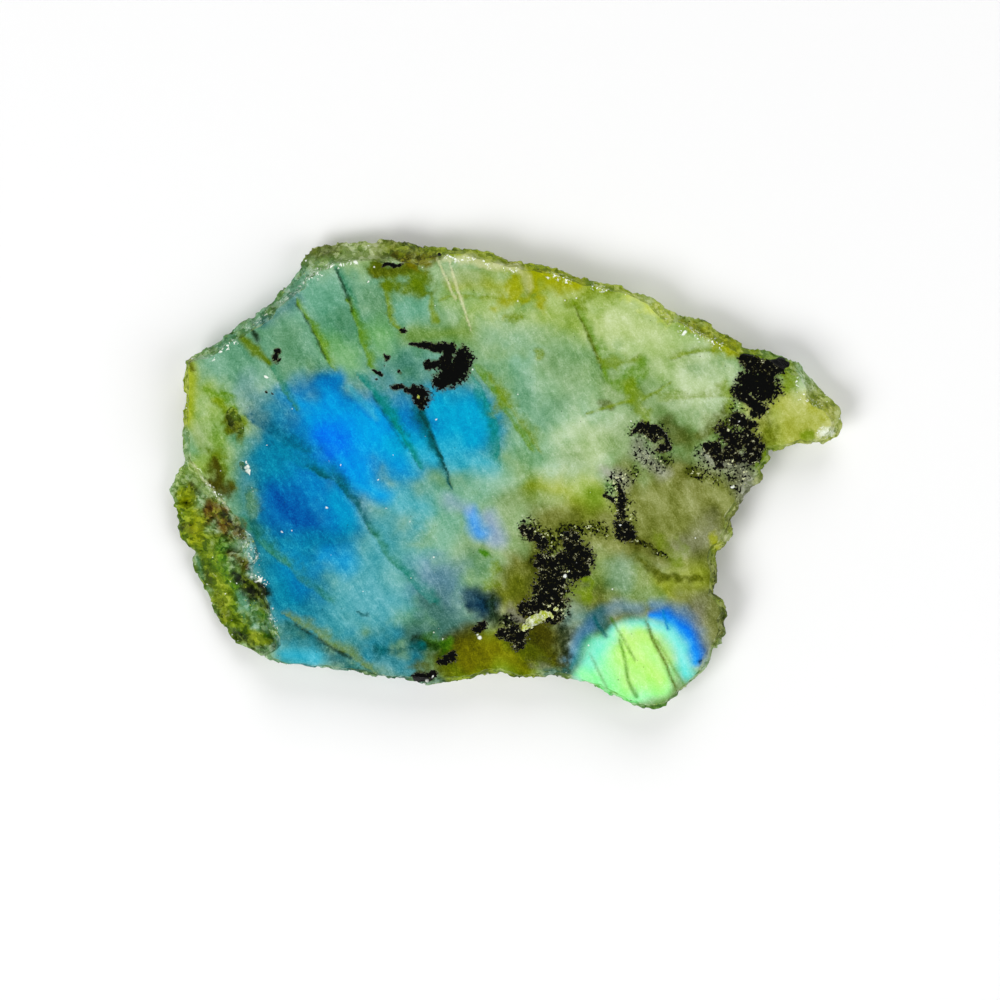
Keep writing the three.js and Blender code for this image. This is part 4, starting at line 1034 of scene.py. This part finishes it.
FELDSPAR_IOR = 1.56
RIM_GLOSS = 0.15  # specular level of the crumbly rim
POLISH = 0.08  # least roughness of the polished face
GRAIN_RELIEF, RIM_RELIEF, SAW_RELIEF = 0.012, 0.3, 0.08  # in millimetres
CRUMB_SIZE = 0.24
CRYSTALS_PER_MM = 1.4
RIM_SHINE = (5, 6.4)  # heights over the back between which the painted glints and the frost with its painted highlights come up

# Specks: (shift of the pattern, cell size, share of cells with one, radius in cells, strength, tint). The
# white and gold specks are partly pale and brassy crystals and partly painted sparkles of light; the dark
# ones are the stone's own.
FACE_SPECKS_AND_SPARKLES = (
    ((0, 0, 0), 0.9, 0.3, 0.14, 0.55, BLACK_GREEN),
    ((0, 0, 0), 1.7, 0.3, 0.1, 0.7, WHITE),
)
RIM_SPECKS_AND_SPARKLES = (
    ((0, 0, 0), 0.6, 0.35, 0.22, 1, GOLD_OLIVE),
    ((3, 11, 5), 0.7, 0.3, 0.2, 1, BLACK_GREEN),
    ((7, 3, 19), 0.9, 0.22, 0.2, 1, WHITE),
)


def speckled(nodes, tint, point, specks):
    """Loose specks strewn over a colour, partly painted sparkles of light."""
    for shift, size, share, radius, strength, speck in specks:
        cover = nodes.flecks(nodes.vector("ADD", point, shift), size, share, radius)
        tint = nodes.mix(nodes.times(cover, strength), tint, speck)
    return tint


def frost_and_highlight_share(nodes, point, low, most=1.0):
    """How much a place shines with frost: pale granules, partly with painted highlights. It breaks off
    where a noise is below this.
    """
    broken = nodes.ease(nodes.noise(point, 0.34, 2, 0.6), low, 0.62)
    return nodes.times(nodes.ease(nodes.field("frost_and_highlight"), 1.3, 0.5, 0, most), broken)


def polished_material():
    material, nodes, shader = new_material("polished_feldspar")
    flat = stone_point(nodes)
    fine = nodes.noise(flat, 0.22, 1, 0.5)
    tint = clouded(nodes, flat, fine)

    # black grains, brown round their edges, with pale crumbs in them
    cell = nodes.cell(flat, CRUMB_SIZE)
    crumb = nodes.noise(flat, 0.7, 3, 0.65)
    loose = nodes.times(crumb, 1.6, nodes.less(nodes.field("grain"), 0.8))
    tint = nodes.mix(nodes.ease(loose, 1.8, 1.0, 0, 0.75), tint, BROWN_OLIVE)
    tint = peppered(nodes, tint, flat, cell, crumb)
    crumbled = nodes.times(cell, 0.8, nodes.less(loose, 0.4))
    black = nodes.ease(crumbled, 1.28, 1.16)
    lone = nodes.ease(nodes.field("pepper"), 1.6, 3, 0, -0.08)
    mixed = nodes.math("ADD", nodes.noise(flat, 0.45, 3, 0.7), lone)
    within = nodes.ramp(mixed, ((0.57, BLACK), (0.61, BROWN_OLIVE), (0.66, ASH), (0.74, CREAM)))
    tint = nodes.mix(black, tint, within)

    brass = nodes.times(cell, 0.6, nodes.field("brass"))
    tint = nodes.mix(nodes.ease(brass, 1.4, 1.3), tint, nodes.ramp(cell, ((0, CREAM), (0.6, GOLD_OLIVE))))

    # White frost: pale granules, partly their own colour and partly painted highlights.
    tint = nodes.mix(frost_and_highlight_share(nodes, flat, 0.58), tint, WHITE)
    # Dark specks, and white specks that are partly pale crystals and partly painted sparkles of light.
    tint = speckled(nodes, tint, flat, FACE_SPECKS_AND_SPARKLES)
    tint = nodes.mix(nodes.ease(nodes.field("glint"), 1.15, 0.6, 0, 0.9), tint, WHITE)

    shader.inputs["IOR"].default_value = FELDSPAR_IOR
    roughness = nodes.times(black, 0.06, nodes.times(fine, 0.04, POLISH))
    height = nodes.times(black, nodes.less(nodes.noise(flat, 0.5, 3), 1.0))
    return finish(material, nodes, shader, tint, roughness, height, GRAIN_RELIEF)


def broken_material():
    material, nodes, shader = new_material("broken_feldspar")
    solid = stone_point(nodes)
    crumb = nodes.noise(solid, 0.7, 5, 0.72)
    tint = painted(nodes, crumb, 6.0)
    stain = nodes.noise(nodes.vector("ADD", solid, (31, 7, 3)), 2.4, 4, 0.65)
    tint = nodes.mix(nodes.ease(stain, 0.46, 0.62, 0.1, 0.5), tint, OLIVE)
    pale = nodes.noise(nodes.vector("ADD", solid, (5, 53, 11)), 1.4, 4, 0.7)
    tint = nodes.mix(nodes.ease(pale, 0.6, 0.68, 0, 0.1), tint, CREAM)
    ragged = nodes.vector("MULTIPLY_ADD", nodes.noise(solid, 0.8, 3, 0.6, "Color"), (1.5,) * 3, solid)
    crystal = nodes.add("TexVoronoi", {"Vector": ragged, "Scale": CRYSTALS_PER_MM}, "Color")
    depth = nodes.ease(nodes.add("SeparateColor", {0: crystal}), 0, 1, 0.85, 1.6)
    depth = nodes.math("ADD", depth, nodes.times(crumb, 1.2, -0.75))
    tint = nodes.mix(nodes.ease(nodes.field("grain"), 1.1, 0.9), nodes.gamma(tint, depth), BLACK)
    # Gold, dark and white specks; the gold and white are partly crystals and partly painted sparkles of
    # light.
    tint = speckled(nodes, tint, solid, RIM_SPECKS_AND_SPARKLES)
    brass = nodes.ramp(crumb, ((0.42, GOLD_OLIVE), (0.5, CREAM), (0.6, WHITE)))
    tint = nodes.mix(nodes.ease(nodes.field("brass"), 1.9, 1.6), tint, brass)
    # Painted highlights high on the rim: the white glints, and the frost that is partly pale granules and
    # partly painted highlights.
    risen = nodes.ease(nodes.vector("DOT_PRODUCT", solid, (0, 0, 1)), *RIM_SHINE)
    glint = nodes.ease(nodes.field("glint"), 1.2, 0.6, 0, 0.85)
    shining = nodes.math("MAXIMUM", glint, frost_and_highlight_share(nodes, solid, 0.56, 0.6))
    tint = nodes.mix(nodes.times(shining, risen), tint, WHITE)
    shader.inputs["Specular IOR Level"].default_value = RIM_GLOSS
    roughness = nodes.ease(crumb, 0.3, 0.7, 0.3, 0.55)
    return finish(material, nodes, shader, tint, roughness, crumb, RIM_RELIEF)


def sawn_material():
    material, nodes, shader = new_material("sawn_feldspar")
    flat = stone_point(nodes)
    crumb = nodes.noise(flat, 0.9, 4, 0.65)
    kerf = nodes.noise(nodes.stretch(flat, SAW_TURN, 60), 0.35, 2, 0.6)
    tint = nodes.mix(0.35, clouded(nodes, flat, crumb), ASH)
    tint = nodes.mix(nodes.ease(nodes.field("grain"), 1.2, 0.9, 0, 0.8), tint, GRIT)
    tint = nodes.mix(nodes.ease(kerf, 0.5, 0.7, 0, 0.35), tint, CREAM)
    roughness = nodes.times(kerf, 0.3, 0.5)
    height = nodes.times(crumb, 0.5, kerf)
    return finish(material, nodes, shader, tint, roughness, height, SAW_RELIEF)


# ---- floor, lights and camera

FLOOR_SIZE = 4
FLOOR_TINT = (0.9, 0.9, 0.9, 1)
LIGHTS = (  # (name, place, size, power)
    ("key", (-0.5, -0.45, 0.75), 0.5, 7.0),
    ("fill", (0.65, -0.25, 0.7), 0.7, 3.8),
    ("back", (0.1, 0.8, 0.75), 0.7, 4.6),
)
BACKDROP_HEIGHTS = (0.2, 0.95)  # of a line of sight, straight up being 1: it dims between them
BACKDROP_STRENGTHS = (0.4, 0.04)
CAMERA_HEIGHT = 507  # millimetres above the floor
VIEW_WIDTH = 142.9  # what the view takes in at the polished face
VIEW_CENTRE = (-0.7, -3.6)


def make_floor():
    material, _, shader = new_material("floor")
    for name, value in (("Base Color", FLOOR_TINT), ("Roughness", 0.9), ("Specular IOR Level", 0.1)):
        shader.inputs[name].default_value = value
    bpy.ops.mesh.primitive_plane_add(size=FLOOR_SIZE)
    floor = bpy.context.object
    floor.name = "floor"
    floor.data.materials.append(material)


def add_area_light(name, place, size, power):
    """A square area light that shines at the slab."""
    light = bpy.data.lights.new(name, "AREA")
    light.energy = power
    light.size = size
    lamp = add_object(name, light)
    lamp.location = place
    lamp.rotation_euler = (-Vector(place)).to_track_quat("-Z", "Y").to_euler()


def light_scene():
    for light in LIGHTS:
        add_area_light(*light)
    world = bpy.data.worlds.new("studio")
    world.use_nodes = True
    nodes = Nodes(world.node_tree)
    direction = nodes.add("TexCoord", {}, output="Generated")
    height = nodes.vector("DOT_PRODUCT", direction, (0, 0, 1))
    backdrop = world.node_tree.nodes["Background"].inputs
    strength = nodes.ease(height, *BACKDROP_HEIGHTS, *BACKDROP_STRENGTHS)
    world.node_tree.links.new(strength, backdrop["Strength"])
    backdrop["Color"].default_value = (1, 1, 1, 1)
    bpy.context.scene.world = world
    bpy.context.scene.view_settings.view_transform = "Standard"


def make_camera():
    camera = bpy.data.cameras.new("camera")
    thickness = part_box("slab")[1].z / MM
    camera.lens = camera.sensor_width * (CAMERA_HEIGHT - thickness) / VIEW_WIDTH
    camera.clip_start = 0.01
    holder = add_object("camera", camera)
    holder.location = Vector((*VIEW_CENTRE, CAMERA_HEIGHT)) * MM
    bpy.context.scene.camera = holder


make_slab(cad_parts["slab"], [polished_material(), broken_material(), sawn_material()])
make_floor()
light_scene()
make_camera()
